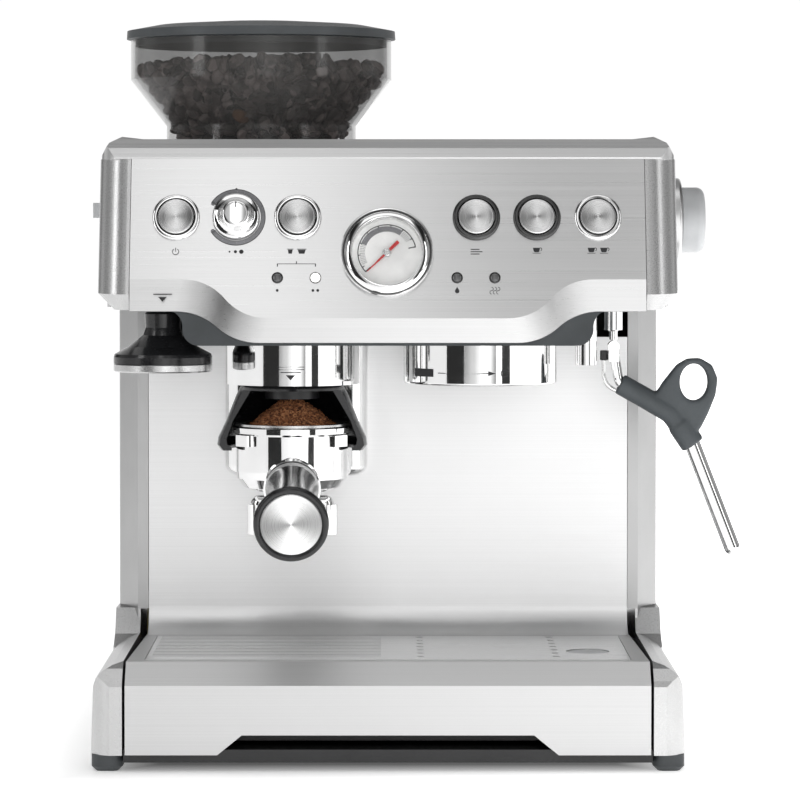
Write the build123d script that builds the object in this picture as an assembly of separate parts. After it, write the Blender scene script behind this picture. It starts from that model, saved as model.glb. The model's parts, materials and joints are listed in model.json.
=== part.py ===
from build123d import *
import math
import os

# ---------------------------------------------------------------------------
# Pump espresso machine with a built-in conical burr grinder. Millimetres.
# Working frame: x = 0 is the machine's middle plane, y = 0 the front of the
# drip tray with +Y to the back, z = 0 the worktop. Every piece is moved by
# SHIFT at the end, so the finished frame has its origin at the middle of the
# bounding box's underside.
# ---------------------------------------------------------------------------

# Driving dimensions
BODY_HALF = 157.0          # half-width over the side panels
BASE_HALF = 160.5          # half-width over the base
BODY_BACK = 305.0          # back of the machine
PAN_BOTTOM = 5.0           # underside of the base pan
TRAY_TOP = 58.5            # top of the drip tray
TRAY_HALF = 141.4          # half-width of the tray's front panel
FLOAT_X, FLOAT_Y = 110.3, 58.0      # the tray's water-level float
SPLASH_FRONT = 155.0       # front of the upright splash panel
SPLASH_HALF = 138.1        # half-width of the splash panel
HEAD_UNDER = 229.0         # lowest underside of the head
WING_UNDER = 248.0         # underside of the head's outer wings
HEAD_SEAM = 330.0          # seam between the fascia and the top cover
HEAD_TOP = 341.0           # top of the cover
FASCIA_TILT = 17.0         # lean of the control panel, degrees
FASCIA_HALF = 139.7        # half-width of the control panel
FASCIA_THICK = 5.0

GRIND_X, OUTLET_Y = -53.0, 70.0     # axis of the grinding outlet
GROUP_X, GROUP_Y = 51.0, 70.0       # axis of the brew head
BURR_X, BURR_Y = -73.0, 158.0       # axis of the hopper and the burrs
TAMPER_X, TAMPER_Y = -123.2, 45.0   # axis of the stored tamper
TAMPER_R = 27.0                     # the standard 54 mm tamper
WAND_X, WAND_Y = 124.9, 70.0        # ball joint of the steam wand
BALL_Z, KNUCKLE_Z = 238.6, 226.5
SPOUT_X, SPOUT_Y = 109.3, 60.0      # hot-water spout
LANCE_R = 4.4                       # straight end of the steam wand
DIAL_Y, DIAL_Z, FLANGE = 118.0, 296.6, 8.5   # steam dial on the right side and its raised flange
SIZE_Y, SIZE_Z = 150.0, 302.0       # grind-size wheel on the left side
SHAFT_HOLE_R = 3.9                  # holes that the dials' shafts run in
TANK_HALF, TANK_FRONT, TANK_BACK = 108.0, 246.0, 304.0
LID_AXIS_Y, LID_AXIS_Z = 247.0, 338.0   # hinge of the tank's lid
ENTRY_X, ENTRY_Z = 132.0, 92.0      # mains cord entry in the back
GEAR_MODULE, GEAR_TEETH, PINION_TEETH = 1.25, 60, 12
SHIFT = Location((-13.7, -122.1, 0))

panel = Plane(origin=(0, 20, 264.7), x_dir=(1, 0, 0),
              z_dir=(0, -math.cos(math.radians(FASCIA_TILT)), math.sin(math.radians(FASCIA_TILT))))

# Control positions on the panel: across, up the panel
BUTTONS = {"power_button": (-115, 34.8), "filter_button": (-49, 34.8), "program_button": (48, 34.8),
           "one_cup_button": (80.9, 34.8), "two_cup_button": (114, 34.8)}
GRIND_DIAL = (-82.4, 34.8)
GAUGE = (-0.5, 14.8)
NEEDLE_REST = 225          # degrees from across the panel to the needle
LENSES = [(-59.8, 0.9), (-39.2, 0.9), (37.4, 0.9), (57.8, 0.9)]
CAP_R, BUTTON_HOLE_R, RING_R = 9.75, 10.1, 12.95
LENS_R, GAUGE_R, GLASS_R = 3.05, 25.2, 19.0

parts = {}


def on_panel(u, v, w=0.0):
    """Location on the leaning control panel; w is the height above it."""
    return panel.location * Pos(u, v, w)


def block(x0, x1, y0, y1, z0, z1):
    """Box between two corners."""
    return Pos((x0 + x1) / 2, (y0 + y1) / 2, (z0 + z1) / 2) * Box(x1 - x0, y1 - y0, z1 - z0)


def rod(x, y, z0, z1, r):
    """Upright cylinder."""
    return Pos(x, y, (z0 + z1) / 2) * Cylinder(r, z1 - z0)


def ring(x, y, z0, z1, r_out, r_in):
    """Upright tube."""
    return rod(x, y, z0, z1, r_out) - rod(x, y, z0 - 1, z1 + 1, r_in)


def stud(u, v, w0, w1, r):
    """Cylinder that stands out of the control panel."""
    return on_panel(u, v, (w0 + w1) / 2) * Cylinder(r, w1 - w0)


def turned(points, x, y):
    """Solid of revolution about an upright axis from (radius, height) points."""
    return Pos(x, y, 0) * revolve(make_face(Plane.XZ * Polyline(*points, close=True)), Axis.Z)


def side_profile(points, x0, x1):
    """Prism across the machine from (y, z) points."""
    face = make_face(Plane.YZ * Polyline(*points, close=True))
    return Pos(x0, 0, 0) * extrude(face, x1 - x0, dir=(1, 0, 0))


def plan_profile(points, z0, z1):
    """Upright prism from (x, y) points."""
    return Pos(0, 0, z0) * extrude(make_face(Polyline(*points, close=True)), z1 - z0)


def mirrored(part):
    """The same piece on the other side of the machine."""
    return mirror(part, Plane.YZ)


def tube(points, radii, r):
    """Round bar along straight runs joined by arcs."""
    path = FilletPolyline(*points, radius=radii)
    start = Plane(origin=path @ 0, z_dir=path % 0)
    return sweep(start * Circle(r), path)


def s_curve(x0, z0, x1, z1):
    """Two equal tangent arcs that leave and arrive level."""
    middle = ((x0 + x1) / 2, (z0 + z1) / 2)
    first = TangentArc((x0, z0), middle, tangent=(1, 0))
    return [first, TangentArc(middle, (x1, z1), tangent=first % 1)]


def belly_face(half, top, side, low, reach_in, reach_out):
    """Panel outline with straight sides and a lower edge that dips in the middle."""
    left = s_curve(-reach_out, side, -reach_in, low)
    right = s_curve(reach_in, low, reach_out, side)
    lines = [Line((-half, top), (-half, side)), Line((-half, side), (-reach_out, side))] + left
    lines += [Line((-reach_in, low), (reach_in, low))] + right
    lines += [Line((reach_out, side), (half, side)), Line((half, side), (half, top)),
              Line((half, top), (-half, top))]
    return make_face(Curve() + lines)


def gear(teeth, x, y, z0, z1, bore_r, phase):
    """Spur gear with straight-flanked teeth and some backlash."""
    pitch_r = GEAR_MODULE * teeth / 2
    root_r, tip_r = pitch_r - 1.25 * GEAR_MODULE, pitch_r + 0.85 * GEAR_MODULE
    step = 360 / teeth
    outline = []
    for i in range(teeth):
        for r, part in ((root_r, -0.33), (tip_r, -0.12), (tip_r, 0.12), (root_r, 0.33)):
            angle = math.radians(phase + (i + part) * step)
            outline.append((x + r * math.cos(angle), y + r * math.sin(angle)))
    return plan_profile(outline, z0, z1) - rod(x, y, z0 - 1, z1 + 1, bore_r)


# ---------------------------------------------------------------------------
# Base, column and head shell
# ---------------------------------------------------------------------------

def make_base():
    pan_half, rib = 142.5, 2.5
    pan = block(-pan_half, pan_half, 3, 300, PAN_BOTTOM, 12)
    for y, top in ((151.5, 55), (300 - rib, 55.5)):
        pan += block(-pan_half, pan_half, y, y + rib, 12, top)
    parts["base_pan"] = pan

    inner, pan_skirt = TRAY_HALF + 1.6, 9
    section = [(inner, pan_skirt), (BASE_HALF, pan_skirt), (BODY_HALF + 2, 46), (BODY_HALF + 0.6, 50),
               (BODY_HALF - 2.6, 53.6), (BODY_HALF - 8, 56.6), (inner, TRAY_TOP)]
    face = make_face(Plane.XZ * Polyline(*section, close=True))
    side = Pos(0, 1, 0) * extrude(face, BODY_BACK - 1, dir=(0, 1, 0))
    plan = plan_profile([(inner - 1, 0), (BASE_HALF + 1, 0), (BASE_HALF + 1, BODY_BACK + 1),
                         (inner - 1, BODY_BACK + 1)], 0, 80)
    plan = fillet(plan.edges().filter_by(Axis.Z).sort_by(Axis.X)[2:], 17.5)
    nose = side_profile([(0, 0), (0, 44), (2.5, 49), (9, 55), (16, 59), (BODY_BACK + 2, 59),
                         (BODY_BACK + 2, 0)], inner - 2, BASE_HALF + 2)
    riser = plan_profile([(inner, SPLASH_FRONT + 1), (144.4, SPLASH_FRONT + 1), (BODY_HALF, 178),
                          (BODY_HALF, BODY_BACK), (inner, BODY_BACK)], 40, 72)
    flare = side_profile([(122, 44), (122, 50), (140, 53), (150, 58), (160, 72), (182, 72), (182, 44)],
                         inner, BODY_HALF + 0.4)
    wedge = plan_profile([(inner, 110), (BODY_HALF + 1, 136), (BODY_HALF, 185), (inner, 185)], 40, 73)
    side = (side & plan & nose) + riser + (flare & wedge)
    parts["base_sides"] = Compound(children=[side, mirrored(side)])

    foot = fillet(block(inner, BASE_HALF - 0.5, 4, 40, 0, pan_skirt).edges().filter_by(Axis.Z), 6)
    foot = chamfer(foot.faces().sort_by(Axis.Z)[0].edges(), 2.5)
    feet = []
    for y in (0, 262):
        feet += [Pos(0, y, 0) * foot, mirrored(Pos(0, y, 0) * foot)]
    parts["feet"] = Compound(children=feet)


def make_column():
    fillet_r = 15.0
    sheet = 1.2
    front, back = SPLASH_FRONT, SPLASH_FRONT + sheet
    foot_y, bend_z = SPLASH_FRONT - fillet_r, TRAY_TOP + fillet_r
    profile = Curve() + [
        Line((front, HEAD_UNDER), (front, bend_z)),
        TangentArc((front, bend_z), (foot_y, TRAY_TOP), tangent=(0, -1)),
        Line((foot_y, TRAY_TOP), (foot_y, TRAY_TOP - sheet)),
        TangentArc((foot_y, TRAY_TOP - sheet), (back, bend_z), tangent=(1, 0)),
        Line((back, bend_z), (back, HEAD_UNDER)),
        Line((back, HEAD_UNDER), (front, HEAD_UNDER))]
    face = make_face(Plane.YZ * profile)
    splash = Pos(-SPLASH_HALF, 0, 0) * extrude(face, 2 * SPLASH_HALF, dir=(1, 0, 0))
    parts["splash_panel"] = splash

    trim = plan_profile([(138.4, SPLASH_FRONT), (144.4, SPLASH_FRONT), (BODY_HALF - 0.8, 179),
                         (BODY_HALF - 0.8, 185), (151, 185), (151, 181), (141.5, 159.5), (138.4, 159.5)],
                        72, WING_UNDER)
    parts["column_trims"] = Compound(children=[trim, mirrored(trim)])

    outline = [(185.2, 72), (BODY_BACK, 72), (BODY_BACK, HEAD_SEAM), (90.2, HEAD_SEAM),
               (90.2, WING_UNDER), (185.2, WING_UNDER)]
    side = side_profile(outline, BODY_HALF - 1.6, BODY_HALF)
    flange = Pos(BODY_HALF + FLANGE / 2, DIAL_Y, DIAL_Z) * Rot(0, 90, 0) * Cylinder(23.8, FLANGE)
    flange = fillet(flange.edges().sort_by(Axis.X)[-1:], 2.0)
    shaft_hole = Pos(BODY_HALF, DIAL_Y, DIAL_Z) * Rot(0, 90, 0) * Cylinder(SHAFT_HOLE_R, 30)
    size_hole = Pos(-BODY_HALF, SIZE_Y, SIZE_Z) * Rot(0, 90, 0) * Cylinder(SHAFT_HOLE_R, 10)
    parts["side_panels"] = Compound(children=[side + flange - shaft_hole, mirrored(side) - size_hole])


def make_back():
    wall = 2.0
    bay_half, bay_front, bay_floor = TANK_HALF + 4, 239.5, 56.0
    outer = bay_half + wall
    gland_r, shank_r = 5.05, 1.8
    strips = [block(-BODY_HALF + 2, -outer, BODY_BACK - wall, BODY_BACK, 72.5, HEAD_SEAM),
              block(outer, BODY_HALF - 2, BODY_BACK - wall, BODY_BACK, 72.5, HEAD_SEAM)]
    strips[1] -= Pos(ENTRY_X, BODY_BACK, ENTRY_Z) * Rot(90, 0, 0) * Cylinder(gland_r, 10)
    screws = []
    for i, x in enumerate((-135, 135)):
        for z in (110, 190, 270, 318):
            strips[i] -= Pos(x, BODY_BACK, z) * Rot(90, 0, 0) * Cylinder(shank_r, 10)
            head = Cylinder(3.2, 2) - Pos(0, 0, 0.6) * Box(3.6, 0.9, 1.2)
            screw = Pos(x, BODY_BACK + 1.0, z) * Rot(90, 0, 0) * head
            screws.append(screw + Pos(x, BODY_BACK - 4, z) * Rot(90, 0, 0) * Cylinder(shank_r - 0.05, 8))
    bay = [block(-outer, -bay_half, bay_front, BODY_BACK, bay_floor, HEAD_SEAM),
           block(bay_half, outer, bay_front, BODY_BACK, bay_floor, HEAD_SEAM),
           block(-bay_half, bay_half, bay_front, bay_front + wall, bay_floor, HEAD_SEAM),
           block(-bay_half, bay_half, bay_front + wall, BODY_BACK, bay_floor, bay_floor + wall)
           - rod(0, 275, bay_floor - 1, bay_floor + 3, 7)]
    parts["back_housing"] = Compound(children=strips + bay)
    parts["case_screws"] = Compound(children=screws)
    gland = Pos(ENTRY_X, BODY_BACK + 2, ENTRY_Z) * Rot(90, 0, 0) * Cylinder(8, 4)
    gland += Pos(ENTRY_X, BODY_BACK - 5, ENTRY_Z) * Rot(90, 0, 0) * Cylinder(gland_r - 0.05, 10)
    gland -= Pos(ENTRY_X, BODY_BACK, ENTRY_Z) * Rot(90, 0, 0) * Cylinder(3.6, 30)
    parts["cord_gland"] = gland


def make_head():
    hem = belly_face(FASCIA_HALF, 68.3, -16.8, -34.4, 70, 114.5)
    crease = belly_face(FASCIA_HALF, 68.3, 0, -21.8, 65, 111)
    band = 4.0
    fascia = extrude(Pos(0, 0, -FASCIA_THICK) * hem, FASCIA_THICK - band)
    fascia += loft([Pos(0, 0, -band) * hem, crease], ruled=True)
    fascia = panel.location * fascia
    for u, v in list(BUTTONS.values()) + [GRIND_DIAL]:
        fascia -= stud(u, v, -9, 6, BUTTON_HOLE_R)
    for u, v in LENSES:
        fascia -= stud(u, v, -9, 6, LENS_R + 0.02)
    fascia -= stud(*GAUGE, -9, 6, 22.05)
    parts["head_fascia"] = fascia

    behind = on_panel(0, 0, -FASCIA_THICK - 150.02) * Box(600, 600, 300)
    half, top, belly, wing = 154.5, 252, 102, 120
    low, high = HEAD_UNDER, WING_UNDER
    outline = Curve() + [Line((-half, top), (-half, high)), Line((-half, high), (-wing, high))]
    outline += s_curve(-wing, high, -belly, low) + [Line((-belly, low), (belly, low))]
    outline += s_curve(belly, low, wing, high)
    outline += [Line((wing, high), (half, high)), Line((half, high), (half, top)),
                Line((half, top), (-half, top))]
    skirt = Pos(0, 5, 0) * extrude(make_face(Plane.XZ * outline), SPLASH_FRONT - 5, dir=(0, 1, 0))
    hollow = make_face(Plane.XZ * Polyline((-99, 232), (99, 232), (115, 253), (-115, 253), close=True))
    skirt = (skirt - Pos(0, 24, 0) * extrude(hollow, 140, dir=(0, 1, 0))) & behind
    skirt -= rod(GRIND_X, OUTLET_Y, 220, 260, 16)
    skirt -= rod(GROUP_X, GROUP_Y, 220, 260, 30.1)
    skirt -= rod(SPOUT_X, SPOUT_Y, 220, 260, 6.2)
    skirt -= rod(WAND_X, WAND_Y, 220, 260, 5.1)
    skirt -= rod(TAMPER_X, TAMPER_Y, 228, 248, 12.0)
    skirt -= rod(BURR_X, BURR_Y, 234, 246.5, 40)
    skirt -= block(-160, -140, 0, 90, 240, 260)
    skirt -= block(140, 160, 0, 90, 240, 260)
    parts["head_skirt"] = skirt

    z0, z1 = WING_UNDER, HEAD_SEAM
    lean = math.tan(math.radians(FASCIA_TILT))
    front0, front1 = 20 + (z0 - 264.7) * lean, 20 + (z1 - 264.7) * lean
    end = side_profile([(front0, z0), (front1, z1), (90, z1), (90, z0)], FASCIA_HALF + 0.3, BODY_HALF + 0.8)
    outer = [e for e in end.edges() if e.center().X > BODY_HALF and e.center().Y < 80]
    end = fillet([e for e in outer if abs(e.tangent_at(0).Z) > 0.5], 16.0)
    low = [e for e in end.edges() if e.center().Z < z0 + 0.1 and e.center().X > FASCIA_HALF + 2]
    end = chamfer([e for e in low if e.center().Y < 89], 9.0)
    end -= block(FASCIA_HALF - 1, BODY_HALF - 2.5, 48, 91, z0 + 4, z1 + 1)
    parts["head_ends"] = Compound(children=[end, mirrored(end)])


def make_top():
    rim, drop = 145.8, HEAD_SEAM
    section = [(-BODY_HALF, drop), (-BODY_HALF, drop + 1.5), (-152.5, 339), (-rim, 342.4), (-134, HEAD_TOP),
               (134, HEAD_TOP), (rim, 342.4), (152.5, 339), (BODY_HALF, drop + 1.5), (BODY_HALF, drop)]
    front = 38
    face = make_face(Plane.XZ * Polyline(*section, close=True))
    cover = Pos(0, front, 0) * extrude(face, BODY_BACK - front, dir=(0, 1, 0))
    nose = side_profile([(40.3, drop - 1), (40.3, drop + 1), (43, 336), (50, 341), (58, 344), (BODY_BACK, 344),
                         (BODY_BACK, drop - 1)], -170, 170)
    corners = plan_profile([(-BODY_HALF, front), (BODY_HALF, front), (BODY_HALF, 400), (-BODY_HALF, 400)],
                           320, 350)
    corners = fillet(corners.edges().filter_by(Axis.Z).sort_by(Axis.Y)[:2], 16)
    cover = (cover & nose) & corners
    cover -= block(-140, 140, 52, 238, drop - 1, 337.5)
    cover -= block(-TANK_HALF - 4, TANK_HALF + 4, 241.5, 400, 320, 350)
    cover -= rod(BURR_X, BURR_Y, 320, 350, 56)
    dish = fillet(block(2, 132, 66, 226, HEAD_TOP - 1.6, 350).edges().filter_by(Axis.Z), 10)
    parts["top_cover"] = cover - dish


# ---------------------------------------------------------------------------
# Controls
# ---------------------------------------------------------------------------

def make_controls():
    rings = []
    cap_top, dish_r, dish_depth = 3.4, 40, 0.6
    for name, (u, v) in BUTTONS.items():
        rings.append(stud(u, v, 0.02, 2.6, RING_R) - stud(u, v, -1, 4, BUTTON_HOLE_R))
        cap = stud(u, v, -8, cap_top, CAP_R)
        parts[name] = cap - on_panel(u, v, cap_top + dish_r - dish_depth) * Sphere(dish_r)
    parts["button_rings"] = Compound(children=rings)

    u, v = GRIND_DIAL
    dial = stud(u, v, 0.6, 4.0, 12.9) + stud(u, v, 4.0, 8.6, 9.9) + stud(u, v, -8, 0.6, 3)
    parts["grind_dial"] = dial
    parts["led_lenses"] = Compound(children=[stud(lu, lv, -5, 0.8, LENS_R) for lu, lv in LENSES])

    gu, gv = GAUGE
    case = stud(gu, gv, 0.02, 4.2, GAUGE_R) + stud(gu, gv, -20, 0.02, 22)
    case -= stud(gu, gv, 0.0, 5, GLASS_R + 0.1)
    case -= stud(gu, gv, -17, 1, 17.5)
    case -= stud(gu, gv, -21, -16, 3)
    parts["gauge_bezel"] = case
    parts["gauge_face"] = stud(gu, gv, 0.05, 0.85, GLASS_R) - stud(gu, gv, -1, 2, 0.9)
    parts["gauge_glass"] = stud(gu, gv, 2.9, 3.7, GLASS_R)
    needle = stud(gu, gv, 1.0, 2.3, 2.4) + stud(gu, gv, -6, 1.0, 0.85)
    blade = make_face(Polyline((-8.6, -0.95), (-8.6, 0.95), (0, 0.75), (15.2, 0.2), (15.2, -0.2), (0, -0.75),
                               close=True))
    needle += on_panel(gu, gv, 1.3) * Rot(0, 0, NEEDLE_REST) * extrude(blade, 0.6)
    parts["gauge_needle"] = needle

    boards = []
    for u0, u1 in ((-128, -30), (30, 128)):
        board = on_panel((u0 + u1) / 2, 30, -15) * Box(u1 - u0, 56, 1.6)
        for u, v in BUTTONS.values():
            if u0 < u < u1:
                board += stud(u, v, -14.3, -10.2, 3)
        boards.append(board)
    boards[0] += stud(*GRIND_DIAL, -14.3, -9, 5)
    power_board = block(-140, -138.4, 168, 232, 30, 140)
    for z in (50, 80, 112):
        power_board += block(-138.4, -118, 180, 214, z, z + 18)
    boards.append(power_board)
    parts["circuit_boards"] = Compound(children=boards)

    steam = Pos(BODY_HALF + FLANGE, DIAL_Y, DIAL_Z) * Rot(0, 90, 0)
    knob = steam * Pos(0, 0, 6.9) * Cylinder(18.4, 12.8)
    knob = fillet(knob.edges().sort_by(Axis.X)[-1:], 4.5)
    knob += steam * Pos(0, 0, -10) * Cylinder(3.5, 21.5)
    parts["steam_dial"] = knob

    size = Pos(-BODY_HALF - 2.2, SIZE_Y, SIZE_Z) * Rot(0, 90, 0)
    wheel = size * Cylinder(22, 3.4)
    wheel += block(-BODY_HALF - 11, -BODY_HALF - 3.5, SIZE_Y - 19, SIZE_Y + 19, SIZE_Z - 4.3, SIZE_Z + 4.3)
    wheel += size * Pos(0, 0, 19) * Cylinder(3.5, 38)
    parts["grind_size_dial"] = wheel


# ---------------------------------------------------------------------------
# Hopper and grinder
# ---------------------------------------------------------------------------

def make_hopper():
    wall = 2.4
    hopper = turned([(22, 334), (54.5, 334), (54.5, 350.4), (75, 377), (75, 399.5), (75 - wall, 399.5),
                     (75 - wall, 378), (52.2, 351.2), (52.2, 348), (22, 338)], BURR_X, BURR_Y)
    parts["bean_hopper"] = hopper
    lid = turned([(0, 405.5), (0, 410.6), (30, 410.0), (60, 408.0), (77, 404.8), (77.3, 400.2),
                  (75.5, 399.8), (72.2, 399.8), (72.2, 396), (70.5, 396), (70.5, 402)], BURR_X, BURR_Y)
    parts["hopper_lid"] = lid


def make_grinder():
    housing = rod(BURR_X, BURR_Y, 250, 333, 40) - rod(BURR_X, BURR_Y, 256, 329, 34)
    housing -= rod(BURR_X, BURR_Y, 328, 334, 24)
    housing -= rod(BURR_X, BURR_Y, 249, 257, 4.05)
    chute = block(GRIND_X - 12, GRIND_X + 12, OUTLET_Y, 126, 253, 276) + rod(GRIND_X, OUTLET_Y, 198, 276, 15)
    chute -= rod(GRIND_X, OUTLET_Y, 190, 272, 12)
    chute -= block(GRIND_X - 8, GRIND_X + 8, OUTLET_Y, 127, 257, 272)
    mouth = block(GRIND_X - 8, GRIND_X + 8, 118, BURR_Y - 24, 257, 272)
    housing = (housing + (chute - rod(BURR_X, BURR_Y, 240, 340, 34))) - mouth
    housing -= Pos(BURR_X - 36, SIZE_Y, SIZE_Z) * Rot(0, 90, 0) * Cylinder(3.8, 20)
    parts["grinder_housing"] = housing

    parts["ring_burr"] = turned([(21.5, 272), (33.4, 272), (33.4, 296), (24, 296), (15.5, 288)], BURR_X, BURR_Y)
    cone = turned([(0, 262), (20, 262), (19, 272), (8.5, 296), (0, 300)], BURR_X, BURR_Y)
    spindle = cone + rod(BURR_X, BURR_Y, 236, 262.5, 4)
    spindle += gear(GEAR_TEETH, BURR_X, BURR_Y, 236, 244, 3.9, 0)
    parts["burr_spindle"] = spindle

    centre = BURR_Y + GEAR_MODULE * (GEAR_TEETH + PINION_TEETH) / 2
    pinion = gear(PINION_TEETH, BURR_X, centre, 236, 244, 2.4, 15) + rod(BURR_X, centre, 216, 246, 2.5)
    parts["motor_pinion"] = pinion
    motor = rod(BURR_X, centre, 148, 228, 30) + rod(BURR_X, centre, 228, 232, 10)
    motor -= rod(BURR_X, centre, 210, 233, 2.56)
    parts["grinder_motor"] = fillet(motor.edges().filter_by(GeomType.CIRCLE).sort_by(Axis.Z)[:1], 4)


def make_outlet():
    collar = ring(GRIND_X, OUTLET_Y, 206.2, HEAD_UNDER, 37.1, 30.5)
    shroud = block(GRIND_X - 39, GRIND_X + 41.5, 92, SPLASH_FRONT, 152.4, HEAD_UNDER)
    shroud = fillet(shroud.edges().filter_by(Axis.Z).sort_by(Axis.Y)[:2], 24)
    shroud = fillet(shroud.faces().sort_by(Axis.Z)[0].edges().sort_by(Axis.Y)[:-1], 6)
    shroud -= rod(GRIND_X, OUTLET_Y, 140, HEAD_UNDER + 1, 42.5)
    tail = block(GRIND_X - 30, GRIND_X + 30, 104, 116, 206.2, HEAD_UNDER) - rod(GRIND_X, OUTLET_Y, 200, 232, 37)
    switch_bore = Pos(GRIND_X, 116, 180) * Rot(90, 0, 0) * Cylinder(4.4, 36)
    parts["grind_outlet"] = collar + tail + shroud - switch_bore

    bell = turned([(24, 206), (28, 206), (31, 200), (36.5, 186), (41, 176.5), (41.6, 172.5), (39.5, 169.6),
                   (35.2, 169.6), (35.2, 171.4), (37.6, 173), (38, 176), (34.6, 186), (27, 200)],
                  GRIND_X, OUTLET_Y)
    bell += ring(GRIND_X, OUTLET_Y, 203.5, 206, 28, 15.4)
    bell -= block(GRIND_X - 60, GRIND_X + 60, 0, 58, 160, 203)
    bell -= block(GRIND_X - 22, GRIND_X + 22, 0, 60, 160, 203)
    parts["grind_cradle"] = bell - switch_bore

    switch = Pos(GRIND_X, 117.0, 180) * Rot(90, 0, 0) * Cylinder(4.0, 23)
    parts["grind_switch"] = switch


# ---------------------------------------------------------------------------
# Brewing, water and steam
# ---------------------------------------------------------------------------

def make_brewing():
    head = rod(GROUP_X, GROUP_Y, 206.5, HEAD_UNDER, 42.6) + rod(GROUP_X, GROUP_Y, 228, 240, 30)
    head = fillet(head.edges().filter_by(GeomType.CIRCLE).sort_by(Axis.Z)[:1], 1.2)
    head -= rod(GROUP_X, GROUP_Y, 200, 223, 34)
    head -= rod(GROUP_X, GROUP_Y, 215, 219.5, 36.5)
    for angle in (0, 120, 240):
        slot = Rot(0, 0, angle) * Pos(34, 0, 0) * Box(7, 18, 20)
        head -= Pos(GROUP_X, GROUP_Y, 206) * slot
    head -= rod(GROUP_X, GROUP_Y, 200, 250, 2.6)
    parts["brew_head"] = head
    parts["group_gasket"] = ring(GROUP_X, GROUP_Y, 215, 223, 33.8, 28.2)
    screen = rod(GROUP_X, GROUP_Y, 219.5, 222.8, 28)
    for r, count in ((8, 6), (14, 12), (20, 18)):
        for i in range(count):
            spot = Rot(0, 0, 360 * i / count) * Pos(r, 0, 221) * Cylinder(0.9, 6)
            screen -= Pos(GROUP_X, GROUP_Y, 0) * spot
    parts["shower_screen"] = screen + rod(GROUP_X, GROUP_Y, 217.5, 219.5, 3.6)

    coil = rod(GROUP_X, 118, 243, 300, 33)
    for z in (249, 261, 273, 285):
        coil += Pos(GROUP_X, 118, z) * Torus(33, 3)
    parts["thermocoil"] = coil

    pump = Pos(85, 197, 75) * Rot(0, 90, 0) * Cylinder(13, 50)
    pump += block(70, 100, 180, 214, 56, 94)
    pump += Pos(118, 197, 75) * Rot(0, 90, 0) * Cylinder(7, 16)
    parts["pump"] = pump

    hoses = [tube([(0, 239.2, 75), (0, 197, 75), (59.8, 197, 75)], 15, 4),
             tube([(126.2, 197, 75), (142, 197, 75), (142, 197, 264), (142, 118, 264), (87.4, 118, 264)],
                  7, 2.5),
             tube([(87.4, 118, 290), (124.9, 118, 290), (124.9, 70, 290), (124.9, 70, 258.2)], 9, 2.5),
             tube([(GROUP_X, 84.2, 267), (GROUP_X, 70, 267), (GROUP_X, 70, 240.2)], 6, 2.5)]
    parts["water_hoses"] = Compound(children=hoses)

    parts["hot_water_spout"] = ring(SPOUT_X, SPOUT_Y, 216.9, 247, 5.9, 3.2)


def make_steam():
    valve = rod(WAND_X, WAND_Y, 235.8, 253, 5.0) + block(112, 136, 58, 82, 252.4, 258)
    valve -= Pos(WAND_X, WAND_Y, BALL_Z) * Sphere(4.25)
    valve -= Pos(WAND_X, WAND_Y, 234.8) * Cone(4.6, 3.2, 4.0)
    valve -= rod(WAND_X, WAND_Y, 238, 259, 1.5)
    parts["steam_valve"] = valve

    ball = Pos(WAND_X, WAND_Y, BALL_Z) * Sphere(4.2) + rod(WAND_X, WAND_Y, 230.5, 238, 2.3)
    ball += rod(WAND_X, WAND_Y, 228.5, 231, 1.5)
    knuckle = Pos(WAND_X, WAND_Y, KNUCKLE_Z) * Rot(90, 0, 0)
    ball += knuckle * Cylinder(3.2, 3.0)
    ball -= knuckle * Cylinder(1.35, 10)
    parts["steam_ball"] = ball

    neck = [(125.4, WAND_Y, 222.5), (127.9, WAND_Y, 207), (140, WAND_Y, 199.5), (157, WAND_Y, 189.5),
            (168.4, WAND_Y, 173.5)]
    pipe = tube(neck, 6, 2.8)
    for side in (-1, 1):
        y = WAND_Y + side * 3.2
        pipe += Pos(WAND_X, y, KNUCKLE_Z) * Rot(90, 0, 0) * Cylinder(3.2, 2.4)
        pipe += block(WAND_X - 2.4, WAND_X + 2.6, y - 1.2, y + 1.2, 219.5, KNUCKLE_Z)
    pipe += block(WAND_X - 2.4, WAND_X + 3.0, WAND_Y - 4.4, WAND_Y + 4.4, 218.5, 222.6)
    pipe += Pos(WAND_X, WAND_Y, KNUCKLE_Z) * Rot(90, 0, 0) * Cylinder(1.3, 8.8)
    lance = Edge.make_line((166.2, WAND_Y, 179.2), (190.9, WAND_Y, 115.2))
    pipe += sweep(Plane(origin=lance @ 0, z_dir=lance % 0) * Circle(LANCE_R), lance)
    pipe += Pos(lance @ 1) * Sphere(LANCE_R)
    parts["steam_wand"] = pipe

    grip_path = [(128.4, WAND_Y, 206.0), (141, WAND_Y, 199.0), (157, WAND_Y, 189.5), (169.0, WAND_Y, 172.6)]
    grip = tube(grip_path, 8, 5.9)
    cuff = Edge.make_line((161.5, WAND_Y, 183.5), (169.3, WAND_Y, 172.0))
    grip += sweep(Plane(origin=cuff @ 0, z_dir=cuff % 0) * Circle(6.8), cuff)
    loop_face = make_face(Plane.XZ * Polyline((146, 197), (152.5, 207), (160, 216.5), (166, 220), (173, 220.3),
                                              (179.5, 216.5), (182.6, 209), (181.5, 200), (177.5, 190),
                                              (172.5, 180), (160, 184), close=True))
    loop = Pos(0, WAND_Y - 4.5, 0) * extrude(loop_face, 9, dir=(0, 1, 0))
    loop = fillet(loop.edges().filter_by(Axis.Y), 2.5)
    finger = Pos(169.4, WAND_Y, 207) * Rot(90, 0, 0) * extrude(Ellipse(7.8, 10.2), 20, both=True)
    grip = grip + (loop - finger)
    parts["steam_grip"] = grip - pipe


# ---------------------------------------------------------------------------
# Removable pieces
# ---------------------------------------------------------------------------

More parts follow.
